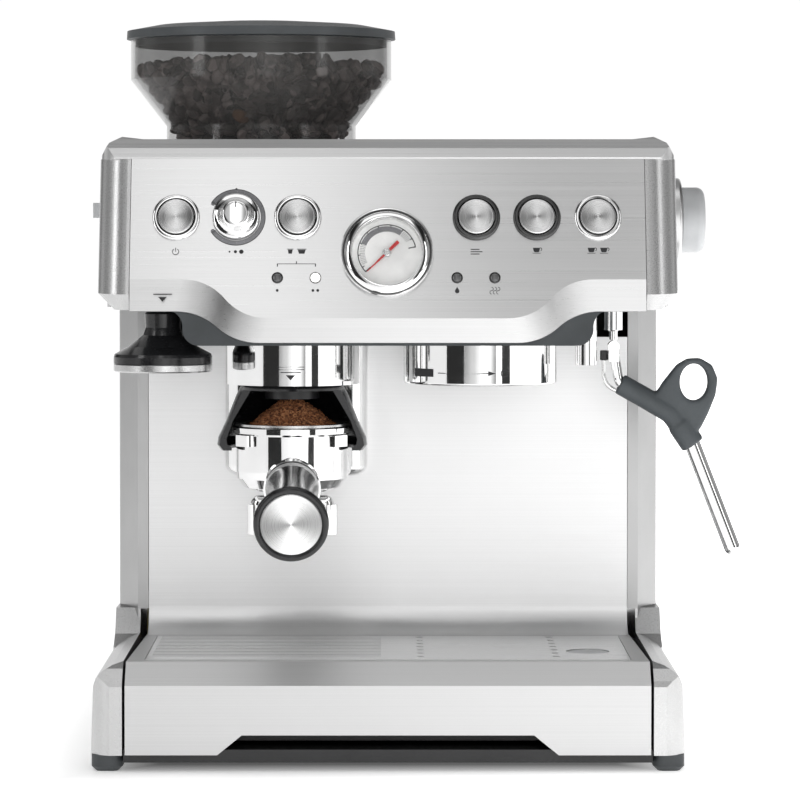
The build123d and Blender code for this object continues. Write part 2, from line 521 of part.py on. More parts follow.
def make_tray():
    tub = block(-139, 139, 3.5, 149, 14, 56.2) - block(-136.5, 136.5, 6, 146.5, 16.5, 60)
    tub -= block(-140, 140, 3, 14, 45.5, 60)
    tub -= block(-140, 140, 137.5, 150, 50, 60)
    tub += block(-92, 92, 3.5, 26.5, 14, 23)
    tub -= block(-89.5, 89.5, 3, 24, 13, 20.5)
    ledge = block(-137, 137, 14.5, 137.4, 54.6, 56.2) - block(-127, 127, 24, 129, 50, 60)
    tub += ledge
    parts["drip_tray"] = tub

    skin = 2.0
    front = side_profile([(0, 9.4), (0, 46.8), (11.5, TRAY_TOP), (139.5, TRAY_TOP), (139.5, TRAY_TOP - 2.2),
                          (13, TRAY_TOP - 2.2), (skin, 46.2), (skin, 9.4)], -TRAY_HALF, TRAY_HALF)
    notch = make_face(Plane.XZ * Polyline((-91.8, 9), (-91.8, 9.4), (-78.6, 20.1), (78.6, 20.1),
                                          (91.8, 9.4), (91.8, 9), close=True))
    notch = Pos(0, -5, 0) * extrude(notch, 12, dir=(0, 1, 0))
    taper = plan_profile([(-TRAY_HALF, -1), (TRAY_HALF, -1), (TRAY_HALF, 12), (SPLASH_HALF + 0.3, 140),
                          (-SPLASH_HALF - 0.3, 140), (-TRAY_HALF, 12)], 0, 70)
    front = (front & taper) - notch
    front -= block(-132, 132, 19.5, 133.5, 50, 60)
    parts["tray_front"] = front

    grill = block(-131.5, 131.5, 20, 133, 56.6, 58.7)
    for y in range(34, 128, 7):
        grill -= block(-129, -4, y, y + 3.2, 55, 60)
    dimple_r, dimple_depth = 119.6, 0.6
    for x, y in ((36.6, 84), (69.2, 84)):
        grill -= Pos(x, y, 58.7 + dimple_r - dimple_depth) * Sphere(dimple_r)
    grill -= rod(FLOAT_X, FLOAT_Y, 50, 60, 12.0)
    for y in range(34, 128, 15):
        for x in (18, 92):
            grill -= rod(x, y, 50, 60, 2.2)
    parts["tray_grill"] = grill
    parts["tray_float"] = rod(FLOAT_X, FLOAT_Y, 40, 58.2, 11.3) + rod(FLOAT_X, FLOAT_Y, 17, 40.5, 16)


def make_tamper():
    r = TAMPER_R
    knob = [(0, 246.8), (8.6, 246.8), (10.0, 245.4), (9.6, 238), (11, 233.8), (19, 227.6), (r - 0.6, 223.6),
            (r, 222), (r, 218.4), (0, 218.4)]
    plate = [(0, 218.3), (r - 0.4, 218.3), (r, 217.8), (r, 214.6), (r - 0.8, 213.9), (0, 213.9)]
    parts["tamper_handle"] = turned(knob, TAMPER_X, TAMPER_Y)
    parts["tamper_base"] = turned(plate, TAMPER_X, TAMPER_Y)


def make_portafilter():
    x, y = GRIND_X, OUTLET_Y
    body = turned([(0, 147), (21, 147), (27, 149), (30.6, 154), (31, 158), (31, 178), (33.2, 179.2),
                   (33.2, 182.2), (31.6, 182.2), (28.8, 180), (28.8, 158), (24, 152), (0, 151)], x, y)
    for angle in (-38, 218, 90):
        lug = Rot(0, 0, angle) * Pos(32, 0, 175.4) * Box(5.6, 10.5, 6.2)
        body += Pos(x, y, 0) * (lug - Rot(0, 0, angle) * rod(0, 0, 150, 200, 30))
    neck_dir = Vector(2.6, -132, -17.0).normalized()
    neck_plane = Plane(origin=(x + 0.6, 43, 152.0), z_dir=neck_dir)
    ferrule = extrude(neck_plane * Circle(11), 6) + extrude(neck_plane.offset(6) * Circle(15.6), 6)
    body += (extrude(neck_plane * Circle(11), -14) - rod(x, y, 100, 200, 30)) + ferrule
    yoke_z, yoke_r, reach = 139, 5.2, 19.5
    yoke = rod(x, y, yoke_z, 148, 8) + Pos(x, y, yoke_z) * Rot(0, 90, 0) * Cylinder(yoke_r, 36)
    for side in (-1, 1):
        yoke += Pos(x + side * 18, y, yoke_z) * Sphere(yoke_r)
        yoke += rod(x + side * reach, y, 122.6, yoke_z, 5.6)
    body += yoke
    for side in (-1, 1):
        body -= rod(x + side * reach, y, 120, yoke_z + 1, 3.8)
    body -= rod(x, y, 137, 152, 3.5)
    body -= Pos(x, y, yoke_z) * Rot(0, 90, 0) * Cylinder(3.2, 38)
    parts["portafilter_body"] = body

    grip_plane = neck_plane.offset(12.1)
    length = 94.0
    stations = [(0, 14.6), (22, 12.6), (50, 13.4), (78, 15.6), (82, 16.9), (86, 16.9), (87, 19.3),
                (length, 19.8)]
    grip = None
    for (d0, r0), (d1, r1) in zip(stations, stations[1:]):
        piece = loft([grip_plane.offset(d0) * Circle(r0), grip_plane.offset(d1) * Circle(r1)])
        grip = piece if grip is None else grip + piece
    grip -= extrude(grip_plane.offset(length - 1.2) * Circle(16.5), 5)
    grip += extrude(grip_plane.offset(length - 1.4) * Circle(16.4), 1.0)
    parts["portafilter_handle"] = grip

    basket = turned([(0, 158), (26, 158), (27.4, 160), (27.8, 183), (31.6, 183), (31.6, 184.2), (27.0, 184.2),
                     (26.6, 160.6), (0, 159)], x, y)
    parts["filter_basket"] = basket


def make_tank():
    wall, rim_z = 2.5, 331
    outer = block(-TANK_HALF, TANK_HALF, TANK_FRONT, TANK_BACK, 62, rim_z)
    outer = fillet(outer.edges().filter_by(Axis.Z), 8)
    cavity = block(-TANK_HALF + wall, TANK_HALF - wall, TANK_FRONT + wall, TANK_BACK - wall, 65, 340)
    outer -= fillet(cavity.edges().filter_by(Axis.Z), 6)
    outer += rod(0, 275, 58.4, 62, 6)
    outer -= rod(0, 275, 50, 70, 3)

    lid = block(-TANK_HALF - 1, TANK_HALF + 1, TANK_FRONT - 2, TANK_BACK + 1, rim_z + 1, HEAD_TOP)
    lid = fillet(lid.edges().filter_by(Axis.Z), 6)
    lid -= block(-TANK_HALF + 6, TANK_HALF - 6, TANK_FRONT + 5, TANK_BACK - 5, rim_z, HEAD_TOP - 4)
    lid += block(-40, 40, 262, 290, rim_z + 1, HEAD_TOP - 2)
    lid -= block(-36, 36, 265, 287, rim_z + 2, HEAD_TOP + 1)
    lid += block(-37, 37, 272, 280, HEAD_TOP - 3, HEAD_TOP)

    # Hinge: an ear with two pins on the tank, in a notch of the lid
    ear_r, pin_r, bore_r = 3.0, 1.1, 1.3
    for x in (-75, 75):
        hinge = Pos(x, LID_AXIS_Y, LID_AXIS_Z) * Rot(0, 90, 0)
        outer += hinge * Cylinder(ear_r, 8) + hinge * Cylinder(pin_r, 14)
        outer += block(x - 4, x + 4, TANK_FRONT, TANK_FRONT + wall, rim_z - 1, LID_AXIS_Z)
        lid -= block(x - 5, x + 5, TANK_FRONT - 3, LID_AXIS_Y + 5, rim_z, HEAD_TOP + 1)
        lid -= hinge * Cylinder(bore_r, 16)
    parts["water_tank"] = outer
    parts["tank_lid"] = lid


def main():
    for build in (make_base, make_column, make_back, make_head, make_top, make_controls, make_hopper,
                  make_grinder, make_outlet, make_brewing, make_steam, make_tray, make_tamper,
                  make_portafilter, make_tank):
        build()
    os.makedirs("parts", exist_ok=True)
    for name, part in parts.items():
        export_step(SHIFT * part, f"parts/{name}.step")


main()
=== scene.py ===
import bpy
import json
import math
import random
from mathutils import Matrix, Vector, noise


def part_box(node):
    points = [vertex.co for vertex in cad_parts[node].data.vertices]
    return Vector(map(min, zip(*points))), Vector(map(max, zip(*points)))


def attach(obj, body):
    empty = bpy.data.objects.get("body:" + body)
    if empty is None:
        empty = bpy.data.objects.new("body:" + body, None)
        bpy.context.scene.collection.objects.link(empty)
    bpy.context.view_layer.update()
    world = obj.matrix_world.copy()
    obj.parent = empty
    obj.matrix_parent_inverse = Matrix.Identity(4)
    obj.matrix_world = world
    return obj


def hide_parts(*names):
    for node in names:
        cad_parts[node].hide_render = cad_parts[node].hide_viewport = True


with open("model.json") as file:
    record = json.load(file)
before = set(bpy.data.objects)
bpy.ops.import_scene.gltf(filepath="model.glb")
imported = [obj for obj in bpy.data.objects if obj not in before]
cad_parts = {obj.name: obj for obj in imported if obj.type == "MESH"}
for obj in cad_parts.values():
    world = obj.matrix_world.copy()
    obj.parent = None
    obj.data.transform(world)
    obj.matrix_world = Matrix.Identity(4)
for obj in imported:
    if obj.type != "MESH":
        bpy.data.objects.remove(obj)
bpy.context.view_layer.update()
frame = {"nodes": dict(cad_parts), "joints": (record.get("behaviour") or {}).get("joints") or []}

MM = 0.001
NODES = frame["nodes"]
JOINTS = {joint["name"]: joint for joint in frame["joints"]}
TRAY_LO, TRAY_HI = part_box("tray_front")
MID_X = (TRAY_LO.x + TRAY_HI.x) / 2
FRONT_Y = TRAY_LO.y

# The leaning control panel, from the gauge needle's hinge: its normal, and the direction up the panel
PANEL_NORMAL = Vector(JOINTS["gauge_sweep"]["axis"]).normalized()
PANEL_UP = PANEL_NORMAL.cross(Vector((1, 0, 0)))
GAUGE = Vector(JOINTS["gauge_sweep"]["pos_m"])

# Upright axes of the round parts, in millimetres from the middle and from the tray's front
HOPPER_AXIS = (-73, 158)
OUTLET_AXIS = (-53, 70)
GROUP_AXIS = (51, 70)

# Angle in degrees above which an edge shows sharp, on CAD nodes, turned pieces and coffee
CAD_SHARP, TURNED_SHARP, COFFEE_SHARP = 32, 60, 70

# Longest random turn of a bean or grain, in radians
RANDOM_TURN = 6.28


def at(x, y, z):
    """Row-frame point from millimetres across from the middle, back from the tray's front and up."""
    return Vector((MID_X + x * MM, FRONT_Y + y * MM, z * MM))


def axes(origin, normal, up):
    """Placing matrix whose local Z is normal and whose local Y is up."""
    z = Vector(normal).normalized()
    x = Vector(up).cross(z).normalized()
    y = z.cross(x)
    return Matrix.Translation(origin) @ Matrix((x, y, z)).transposed().to_4x4()


def on_panel(point, height=0.0):
    """Placing matrix on the control panel's face, straight above or below a row-frame point."""
    foot = point - PANEL_NORMAL * (point - GAUGE).dot(PANEL_NORMAL)
    return axes(foot + PANEL_NORMAL * height * MM, PANEL_NORMAL, PANEL_UP)


def middle(node):
    """Middle of a CAD node's box."""
    lo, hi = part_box(node)
    return (lo + hi) / 2


def islands(node):
    """Middle of each separate shell of a CAD node, from left to right."""
    mesh = NODES[node].data
    group = list(range(len(mesh.vertices)))

    def root(i):
        while group[i] != i:
            group[i] = group[group[i]]
            i = group[i]
        return i

    seen = {}
    for vertex in mesh.vertices:
        key = tuple(round(c, 6) for c in vertex.co)
        group[root(vertex.index)] = root(seen.setdefault(key, vertex.index))
    for edge in mesh.edges:
        group[root(edge.vertices[0])] = root(edge.vertices[1])
    shells = {}
    for vertex in mesh.vertices:
        shells.setdefault(root(vertex.index), []).append(vertex.co)
    middles = []
    for points in shells.values():
        lo = Vector([min(p[i] for p in points) for i in range(3)])
        hi = Vector([max(p[i] for p in points) for i in range(3)])
        middles.append((lo + hi) / 2)
    return sorted(middles, key=lambda m: m.x)


def new_object(name, data):
    """A new object in the scene."""
    obj = bpy.data.objects.new(name, data)
    bpy.context.scene.collection.objects.link(obj)
    return obj


def fill_ramp(ramp, stops):
    """Sets a colour ramp node to (position, colour) stops."""
    elements = ramp.color_ramp.elements
    while len(elements) < len(stops):
        elements.new(0.5)
    for element, (position, colour) in zip(elements, stops):
        element.position = position
        element.color = (*colour, 1)


# ---------------------------------------------------------------------------
# Materials
# ---------------------------------------------------------------------------

class Finish:
    """A procedural material: one Principled surface that noise in the object's own space varies."""

    def __init__(self, name, colour, metallic=0.0, roughness=0.4, **sockets):
        self.material = bpy.data.materials.new(name)
        self.material.use_nodes = True
        self.tree = self.material.node_tree
        self.shader = self.tree.nodes["Principled BSDF"]
        self.shader.inputs["Base Color"].default_value = (*colour, 1)
        self.shader.inputs["Metallic"].default_value = metallic
        self.shader.inputs["Roughness"].default_value = roughness
        for socket, value in sockets.items():
            self.shader.inputs[socket.replace("_", " ")].default_value = value

    def add(self, kind, inputs=(), **settings):
        """A new shader node. inputs maps sockets to values or to the sockets that feed them."""
        node = self.tree.nodes.new("ShaderNode" + kind)
        for key, value in settings.items():
            setattr(node, key, value)
        for key, value in dict(inputs).items():
            if isinstance(value, bpy.types.NodeSocket):
                self.tree.links.new(value, node.inputs[key])
            else:
                node.inputs[key].default_value = value
        return node

    def place(self, stretch=(1, 1, 1)):
        """Object coordinates, stretched."""
        coords = self.add("TexCoord").outputs["Object"]
        return self.add("Mapping", {"Vector": coords, "Scale": stretch}).outputs["Vector"]

    def noise(self, scale, stretch=(1, 1, 1), detail=3.0):
        inputs = {"Vector": self.place(stretch), "Scale": scale, "Detail": detail}
        return self.add("TexNoise", inputs).outputs["Fac"]

    def span(self, value, low, high, from_low=0.3, from_high=0.7):
        """A value mapped from one range to another."""
        inputs = {"Value": value, "From Min": from_low, "From Max": from_high, "To Min": low, "To Max": high}
        return self.add("MapRange", inputs).outputs["Result"]

    def tint(self, value, *stops):
        """Base colour from a value, through (position, colour) stops."""
        ramp = self.add("ValToRGB", {"Fac": value})
        fill_ramp(ramp, stops)
        self.tree.links.new(ramp.outputs["Color"], self.shader.inputs["Base Color"])

    def rough(self, value, low, high):
        """Roughness that follows a value."""
        self.tree.links.new(self.span(value, low, high), self.shader.inputs["Roughness"])

    def bump(self, height, distance, strength=0.5):
        """Relief from a height value."""
        node = self.add("Bump", {"Height": height, "Distance": distance, "Strength": strength})
        self.tree.links.new(node.outputs["Normal"], self.shader.inputs["Normal"])

    def tangent(self, axis):
        """Direction of the brushed sheen, round an axis of the object."""
        node = self.add("Tangent", direction_type="RADIAL", axis=axis)
        self.tree.links.new(node.outputs["Tangent"], self.shader.inputs["Tangent"])


def grey(value):
    return (value, value, value)


def brushed(name, value, stretch, around, rough=(0.27, 0.33), anisotropic=0.65, contrast=0.03, metallic=1.0):
    """Sheet steel with fine parallel scratches. stretch is low along the scratches."""
    finish = Finish(name, grey(value), metallic, sum(rough) / 2, Anisotropic=anisotropic)
    streaks = finish.noise(1.0, stretch, detail=5.0)
    clouds = finish.noise(9.0, detail=2.0)
    drift = finish.span(clouds, -0.06, 0.06)
    both = finish.add("Math", {0: streaks, 1: drift}, operation="ADD").outputs[0]
    finish.tint(both, (0.25, grey(value - contrast)), (0.5, grey(value)), (0.75, grey(value + contrast)))
    finish.rough(streaks, *rough)
    finish.bump(streaks, 0.00001, 0.15)
    finish.tangent(around)
    return finish.material


def radial_steel(name, value):
    """Steel faced on a lathe: rings about local Z, an anisotropic sheen round Z, and a cone-shaped sheen
    painted into the base colour by angle.
    """
    finish = Finish(name, grey(value), 1.0, 0.3, Anisotropic=0.8)
    # Painted sheen: lobes by angle round local Z make the base colour lighter and darker, as painted
    # highlight and painted shade.
    spin = finish.add("SeparateXYZ", {"Vector": finish.place()})
    angle = finish.add("Math", {0: spin.outputs["Y"], 1: spin.outputs["X"]}, operation="ARCTAN2").outputs[0]
    wave = finish.add("Math", {0: angle, 1: 2.0, 2: -1.8}, operation="MULTIPLY_ADD").outputs[0]
    painted_sheen = finish.add("Math", {0: wave}, operation="SINE").outputs[0]
    radius = finish.add("VectorMath", {0: finish.place((1, 1, 0))}, operation="LENGTH").outputs["Value"]
    fine = finish.add("TexNoise", {"W": radius, "Scale": 2600.0, "Detail": 3.0}, noise_dimensions="1D")
    grain = fine.outputs["Fac"]
    rings = finish.span(grain, 0.44, 0.56)
    rings_and_painted_sheen = finish.add("Math", {0: painted_sheen, 1: 0.26, 2: rings}, operation="MULTIPLY_ADD").outputs[0]
    # The dark and light stops are the painted shade and painted highlight of the sheen; the rings' grain only
    # nudges them.
    dark, mid, light = grey(value - 0.42), grey(value - 0.08), grey(value + 0.22)
    finish.tint(rings_and_painted_sheen, (0.2, dark), (0.5, mid), (0.8, light))
    finish.rough(grain, 0.24, 0.32)
    finish.bump(grain, 0.00001, 0.3)
    finish.tangent("Z")
    return finish.material


def polished(name, value, roughness=0.05):
    """Chrome plate with a trace of handling in its gloss."""
    finish = Finish(name, grey(value), 1.0, roughness)
    smudge = finish.noise(60.0, detail=4.0)
    finish.tint(smudge, (0.3, grey(value - 0.03)), (0.7, grey(value + 0.02)))
    finish.rough(smudge, roughness * 0.6, roughness * 1.7)
    finish.bump(finish.noise(14.0), 0.0002, 0.06)
    return finish.material


def satin_metal(name, value, roughness=0.34, metallic=0.9):
    """Fine bead-blasted or satin painted metal."""
    finish = Finish(name, grey(value), metallic, roughness)
    finish.tint(finish.noise(22.0, detail=4.0), (0.3, grey(value - 0.02)), (0.7, grey(value + 0.03)))
    grain = finish.noise(2400.0, detail=2.0)
    finish.rough(grain, roughness - 0.05, roughness + 0.06)
    finish.bump(grain, 0.00003, 0.4)
    return finish.material


def moulded(name, colour, roughness=0.45, grain_size=1500.0, relief=0.00006, **sockets):
    """Moulded plastic or rubber with a fine spark-eroded grain."""
    finish = Finish(name, colour, 0.0, roughness, **sockets)
    lighter = tuple(c * 1.25 + 0.004 for c in colour)
    darker = tuple(c * 0.85 for c in colour)
    finish.tint(finish.noise(35.0, detail=5.0), (0.3, darker), (0.7, lighter))
    grain = finish.noise(grain_size)
    finish.rough(grain, roughness - 0.08, roughness + 0.1)
    finish.bump(grain, relief, 0.5)
    return finish.material


def clear(name, colour, transmission, roughness=0.03, alpha=1.0):
    """Clear or smoked plastic with faint moulding ripples."""
    finish = Finish(name, colour, 0.0, roughness, Transmission_Weight=transmission, IOR=1.45, Alpha=alpha)
    ripple = finish.noise(28.0)
    finish.tint(ripple, (0.3, tuple(c * 0.94 for c in colour)), (0.7, colour))
    finish.rough(ripple, roughness * 0.5, roughness * 1.6)
    finish.bump(ripple, 0.0002, 0.08)
    return finish.material


def lamp(name, colour, strength):
    """A lit diffuser, its glow varied a little by fine noise."""
    finish = Finish(name, colour, 0.0, 0.3)
    glow = finish.span(finish.noise(400.0), strength * 0.9, strength)
    finish.shader.inputs["Emission Color"].default_value = (*colour, 1)
    finish.tree.links.new(glow, finish.shader.inputs["Emission Strength"])
    return finish.material


def speckled(name, dark, mid, light, scale, roughness, relief):
    """Roasted coffee: cells of several browns with a rough skin."""
    finish = Finish(name, mid, 0.0, roughness)
    cells = finish.add("TexVoronoi", {"Vector": finish.place(), "Scale": scale}).outputs["Color"]
    pick = finish.add("SeparateColor", {"Color": cells}).outputs[0]
    finish.tint(pick, (0.05, dark), (0.5, mid), (0.95, light))
    rough = finish.noise(scale * 3, detail=4.0)
    finish.rough(rough, roughness - 0.12, roughness + 0.12)
    finish.bump(rough, relief, 0.6)
    return finish.material


def circuit():
    """Green solder mask with a grid of copper tracks."""
    finish = Finish("board", (0.02, 0.13, 0.06), 0.0, 0.35)
    tracks = finish.add("TexBrick", {"Vector": finish.place(), "Scale": 60.0, "Mortar Size": 0.03,
                                     "Color1": (0.015, 0.11, 0.05, 1), "Color2": (0.02, 0.14, 0.06, 1),
                                     "Mortar": (0.3, 0.22, 0.06, 1)})
    finish.tree.links.new(tracks.outputs["Color"], finish.shader.inputs["Base Color"])
    finish.rough(finish.noise(300.0), 0.28, 0.45)
    finish.bump(tracks.outputs["Fac"], 0.00008, 0.4)
    return finish.material


def make_materials():
    """Every material by its short name. coarse and fine are noise scales along and across the scratches."""
    coarse, fine = 3.0, 2300.0
    dark = (0.052, 0.058, 0.062)
    return {
        "panel": brushed("brushed_panel", 0.64, (coarse, fine, fine), "X"),
        # Painted light: the splash panel's steel is a lighter, less metallic copy of the panel steel, so its
        # lower curve shows more light.
        "splash": brushed("brushed_splash_painted_light", 0.84, (coarse, fine, fine), "X", (0.33, 0.39), metallic=0.78),
        "tray": brushed("brushed_tray", 0.66, (coarse, fine, fine), "X", (0.44, 0.5), 0.2, metallic=0.9),
        "grill": brushed("brushed_grill", 0.84, (coarse, fine, fine), "X", (0.26, 0.34), metallic=0.75),
        "flank": brushed("brushed_flank", 0.62, (fine, coarse, fine), "Y"),
        "satin": satin_metal("satin_silver", 0.56, 0.3),
        # Painted shade: a darker copy of the satin silver, for the column trims.
        "trim": satin_metal("trim_silver_painted_shade", 0.44, 0.34),
        "chrome": polished("chrome_plate", 0.84),
        "steel": satin_metal("satin_steel", 0.6, 0.26, 1.0),
        "faced": radial_steel("faced_steel_painted_sheen", 0.68),
        "dark": moulded("dark_grey_plastic", dark),
        "black": moulded("black_plastic", (0.012, 0.012, 0.013), 0.38),
        "gloss_black": moulded("gloss_black_plastic", (0.01, 0.01, 0.011), 0.18, 900.0, 0.00001),
        "pale": moulded("pale_grey_plastic", (0.5, 0.51, 0.52), 0.36),
        "smoke": clear("smoked_plastic", (0.1, 0.098, 0.095), 0.0, 0.08, 0.37),
        "tank": clear("tank_plastic", (0.74, 0.78, 0.82), 0.9),
        "glass": clear("gauge_glass", (1.0, 1.0, 1.0), 1.0, 0.0, 0.12),
        "rubber": moulded("black_rubber", (0.02, 0.02, 0.022), 0.7, 800.0, 0.00008),
        "silicone": moulded("grip_silicone", (0.062, 0.071, 0.077), 0.55, 700.0, 0.00008),
        "dial_white": moulded("dial_white", (0.82, 0.82, 0.81), 0.5, 900.0, 0.00002),
        "red": moulded("needle_red", (0.5, 0.018, 0.02), 0.35, 900.0, 0.00002),
        "print": moulded("black_print", (0.016, 0.016, 0.018), 0.5, 1200.0, 0.00003),
        "grey_print": moulded("grey_print", (0.19, 0.19, 0.2), 0.5, 1200.0, 0.00003),
        "light_print": moulded("light_print", (0.4, 0.4, 0.4), 0.5, 1200.0, 0.00003),
        "ring_dark": satin_metal("ring_dark", 0.075, 0.22, 0.8),
        "lens": moulded("lens_off", (0.09, 0.09, 0.092), 0.12, 400.0, 0.00002, Coat_Weight=0.6),
        "lit": lamp("lens_lit", (1.0, 0.99, 0.96), 1.6),
        "board": circuit(),
        "cast": satin_metal("cast_aluminium", 0.5, 0.5, 1.0),
        "can": satin_metal("motor_can", 0.22, 0.4, 0.9),
        "nylon": moulded("gear_nylon", (0.62, 0.58, 0.48), 0.4),
        "bean": speckled("roasted_bean", (0.075, 0.06, 0.056), (0.2, 0.162, 0.152), (0.42, 0.35, 0.33),
                         170.0, 0.36, 0.0003),
        "light_bean": speckled("light_bean", (0.16, 0.07, 0.03), (0.24, 0.11, 0.05), (0.34, 0.17, 0.08),
                               200.0, 0.45, 0.0003),
        "grounds": speckled("ground_coffee", (0.09, 0.03, 0.012), (0.3, 0.11, 0.04), (0.55, 0.25, 0.11),
                            1100.0, 0.8, 0.0006),
    }


PAINT = make_materials()

# CAD nodes shown as they are, by material
CAD_PAINT = {
    "panel": "head_fascia top_cover",
    "splash": "splash_panel",
    "tray": "tray_front",
    "grill": "tray_grill",
    "flank": "side_panels",
    "satin": "base_sides head_ends",
    # The column trims take the darker copy of the satin silver: painted shade.
    "trim": "column_trims",
    "chrome": "brew_head grind_outlet hot_water_spout steam_valve steam_ball steam_wand portafilter_body",
    "steel": "tamper_base filter_basket shower_screen ring_burr burr_spindle case_screws",
    "dark": "head_skirt hopper_lid feet",
    "gloss_black": "grind_cradle tamper_handle",
    "black": "base_pan back_housing grinder_housing drip_tray tank_lid grind_switch pump",
    "pale": "steam_dial grind_size_dial tray_float",
    "smoke": "bean_hopper",
    "tank": "water_tank",
    "glass": "gauge_glass",
    "rubber": "group_gasket water_hoses cord_gland",
    "dial_white": "gauge_face",
    "board": "circuit_boards",
    "cast": "thermocoil",
    "can": "grinder_motor",
    "nylon": "motor_pinion",
}


def paint_nodes():
    """Gives the CAD nodes their materials."""
    for paint, names in CAD_PAINT.items():
        for name in names.split():
            mesh = NODES[name].data
            mesh.materials.clear()
            mesh.materials.append(PAINT[paint])
            mesh.shade_smooth()
            mesh.set_sharp_from_angle(angle=math.radians(CAD_SHARP))


# ---------------------------------------------------------------------------
# Mesh helpers
# ---------------------------------------------------------------------------

def piece(name, vertices, faces, paints, body, slot, matrix=None, picks=None, sharp=35):
    """A mesh piece in millimetres of its own frame, put in place and riding its body."""
    mesh = bpy.data.meshes.new(name)
    mesh.from_pydata([tuple(c * MM for c in v) for v in vertices], [], faces)
    for paint in paints.split():
        mesh.materials.append(PAINT[paint])
    if picks:
        mesh.polygons.foreach_set("material_index", picks)
    mesh.validate()
    mesh.shade_smooth()
    mesh.set_sharp_from_angle(angle=math.radians(sharp))
    obj = new_object(name, mesh)
    if matrix is not None:
        obj.matrix_world = matrix
    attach(obj, body)
    return obj


def soften(obj, width, segments, least_angle=38):
    """Rounds a piece's sharp edges."""
    bevel = obj.modifiers.new("edges", "BEVEL")
    bevel.width = width * MM
    bevel.segments = segments
    bevel.limit_method = "ANGLE"
    bevel.angle_limit = math.radians(least_angle)


def lathe(profile, segments=96, flute=None):
    """Vertices and faces of a turned form from (radius, height) points, which start and end on the axis or
    close on themselves."""
    vertices, faces, rows = [], [], []
    on_axis = 1e-6
    for radius, height in profile:
        if radius < on_axis:
            rows.append([len(vertices)] * segments)
            vertices.append((0, 0, height))
            continue
        rows.append(list(range(len(vertices), len(vertices) + segments)))
        for i in range(segments):
            angle = 2 * math.pi * i / segments
            r = radius + (flute(angle, radius, height) if flute else 0)
            vertices.append((r * math.cos(angle), r * math.sin(angle), height))
    loop = rows + ([rows[0]] if profile[0][0] > on_axis else [])
    for lower, upper in zip(loop, loop[1:]):
        for i in range(segments):
            j = (i + 1) % segments
            corners = [lower[i], lower[j], upper[j], upper[i]]
            faces.append([c for k, c in enumerate(corners) if c != corners[k - 1]])
    return vertices, faces


def arc(radius, start, end, steps, centre=(0, 0)):
    """Points along an arc, in degrees."""
    angles = [math.radians(start + (end - start) * i / steps) for i in range(steps + 1)]
    return [(centre[0] + radius * math.cos(a), centre[1] + radius * math.sin(a)) for a in angles]


def band(inner, outer, start, end, centre=(0, 0), steps=48):
    """Outline of a curved strip between two radii."""
    return arc(outer, start, end, steps, centre) + arc(inner, end, start, steps, centre)


def disc(radius, centre=(0, 0), steps=24):
    """Outline of a full circle."""
    return arc(radius, 0, 360 - 360 / steps, steps - 1, centre)


def bar(x0, y0, x1, y1):
    """Outline of a rectangle from two corners."""
    return [(x0, y0), (x1, y0), (x1, y1), (x0, y1)]


def spoke(angle, inner, outer, width, centre=(0, 0)):
    """Straight tick that points away from a centre."""
    a = math.radians(angle)
    along = Vector((math.cos(a), math.sin(a)))
    across = Vector((-math.sin(a), math.cos(a))) * width / 2
    middle_point = Vector(centre)
    near, far = middle_point + along * inner, middle_point + along * outer
    return [tuple(near - across), tuple(far - across), tuple(far + across), tuple(near + across)]


def printed(name, shapes, paints, body, slot, matrix, thick=0.12, wrap=None):
    """Printed marks from (paint index, outline) shapes: thin prisms on a flat face, or bent by wrap round a
    curved one."""
    vertices, faces, picks = [], [], []
    for pick, outline in shapes:
        base, count = len(vertices), len(outline)
        for height in (0.0, thick):
            for x, y in outline:
                vertices.append(wrap(x, y, height) if wrap else (x, y, height))
        faces.append(list(range(base + count, base + 2 * count)))
        faces += [[base + i, base + (i + 1) % count, base + count + (i + 1) % count, base + count + i]
                  for i in range(count)]
        picks += [pick] * (count + 1)
    return piece(name, vertices, faces, paints, body, slot, matrix, picks)


# ---------------------------------------------------------------------------
# Controls
# ---------------------------------------------------------------------------

CAP_R, RING_R, RING_IN = 9.75, 12.95, 10.15
BUTTONS = ["power", "filter", "program", "one_cup", "two_cup"]
# Two of the five same chrome rings take the dark metal instead: a painted dark reflection.
RINGS_PAINTED_DARK = {"program", "one_cup"}


def make_buttons():
    """Five dished steel caps in raised rings."""
    cap = [(0, 2.55), (3, 2.6), (6, 2.75), (8.4, 3.0), (9.0, 3.12), (9.45, 3.06), (9.7, 2.85), (CAP_R, 2.5),
           (CAP_R, -5.5), (9.2, -6), (0, -6)]
    ring = [(RING_IN, -1.0), (RING_IN, 1.6), (10.35, 2.0), (10.7, 2.15), (12.0, 1.95), (12.6, 1.6),
            (12.9, 1.1), (RING_R, 0.5), (RING_R, 0.02), (12.5, 0.02)]
    lips = [(10.15, 1.2), (10.2, 1.9), (10.5, 2.28), (10.62, 2.2), (10.5, 1.5)]
    for name in BUTTONS:
        node = name + "_button"
        place = on_panel(middle(node))
        face = piece(node + "_cap", *lathe(cap), "faced", node, "button_steel", place, sharp=TURNED_SHARP)
        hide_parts(node)
        # Painted dark reflection on the rings listed above.
        paint = "ring_dark" if name in RINGS_PAINTED_DARK else "chrome"
        collar = piece(name + "_ring", *lathe(ring), paint, "root", "chrome", place, sharp=TURNED_SHARP)
        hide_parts("button_rings")
        piece(name + "_ring_lip", *lathe(lips), "ring_dark", "root", "chrome", place, sharp=TURNED_SHARP)


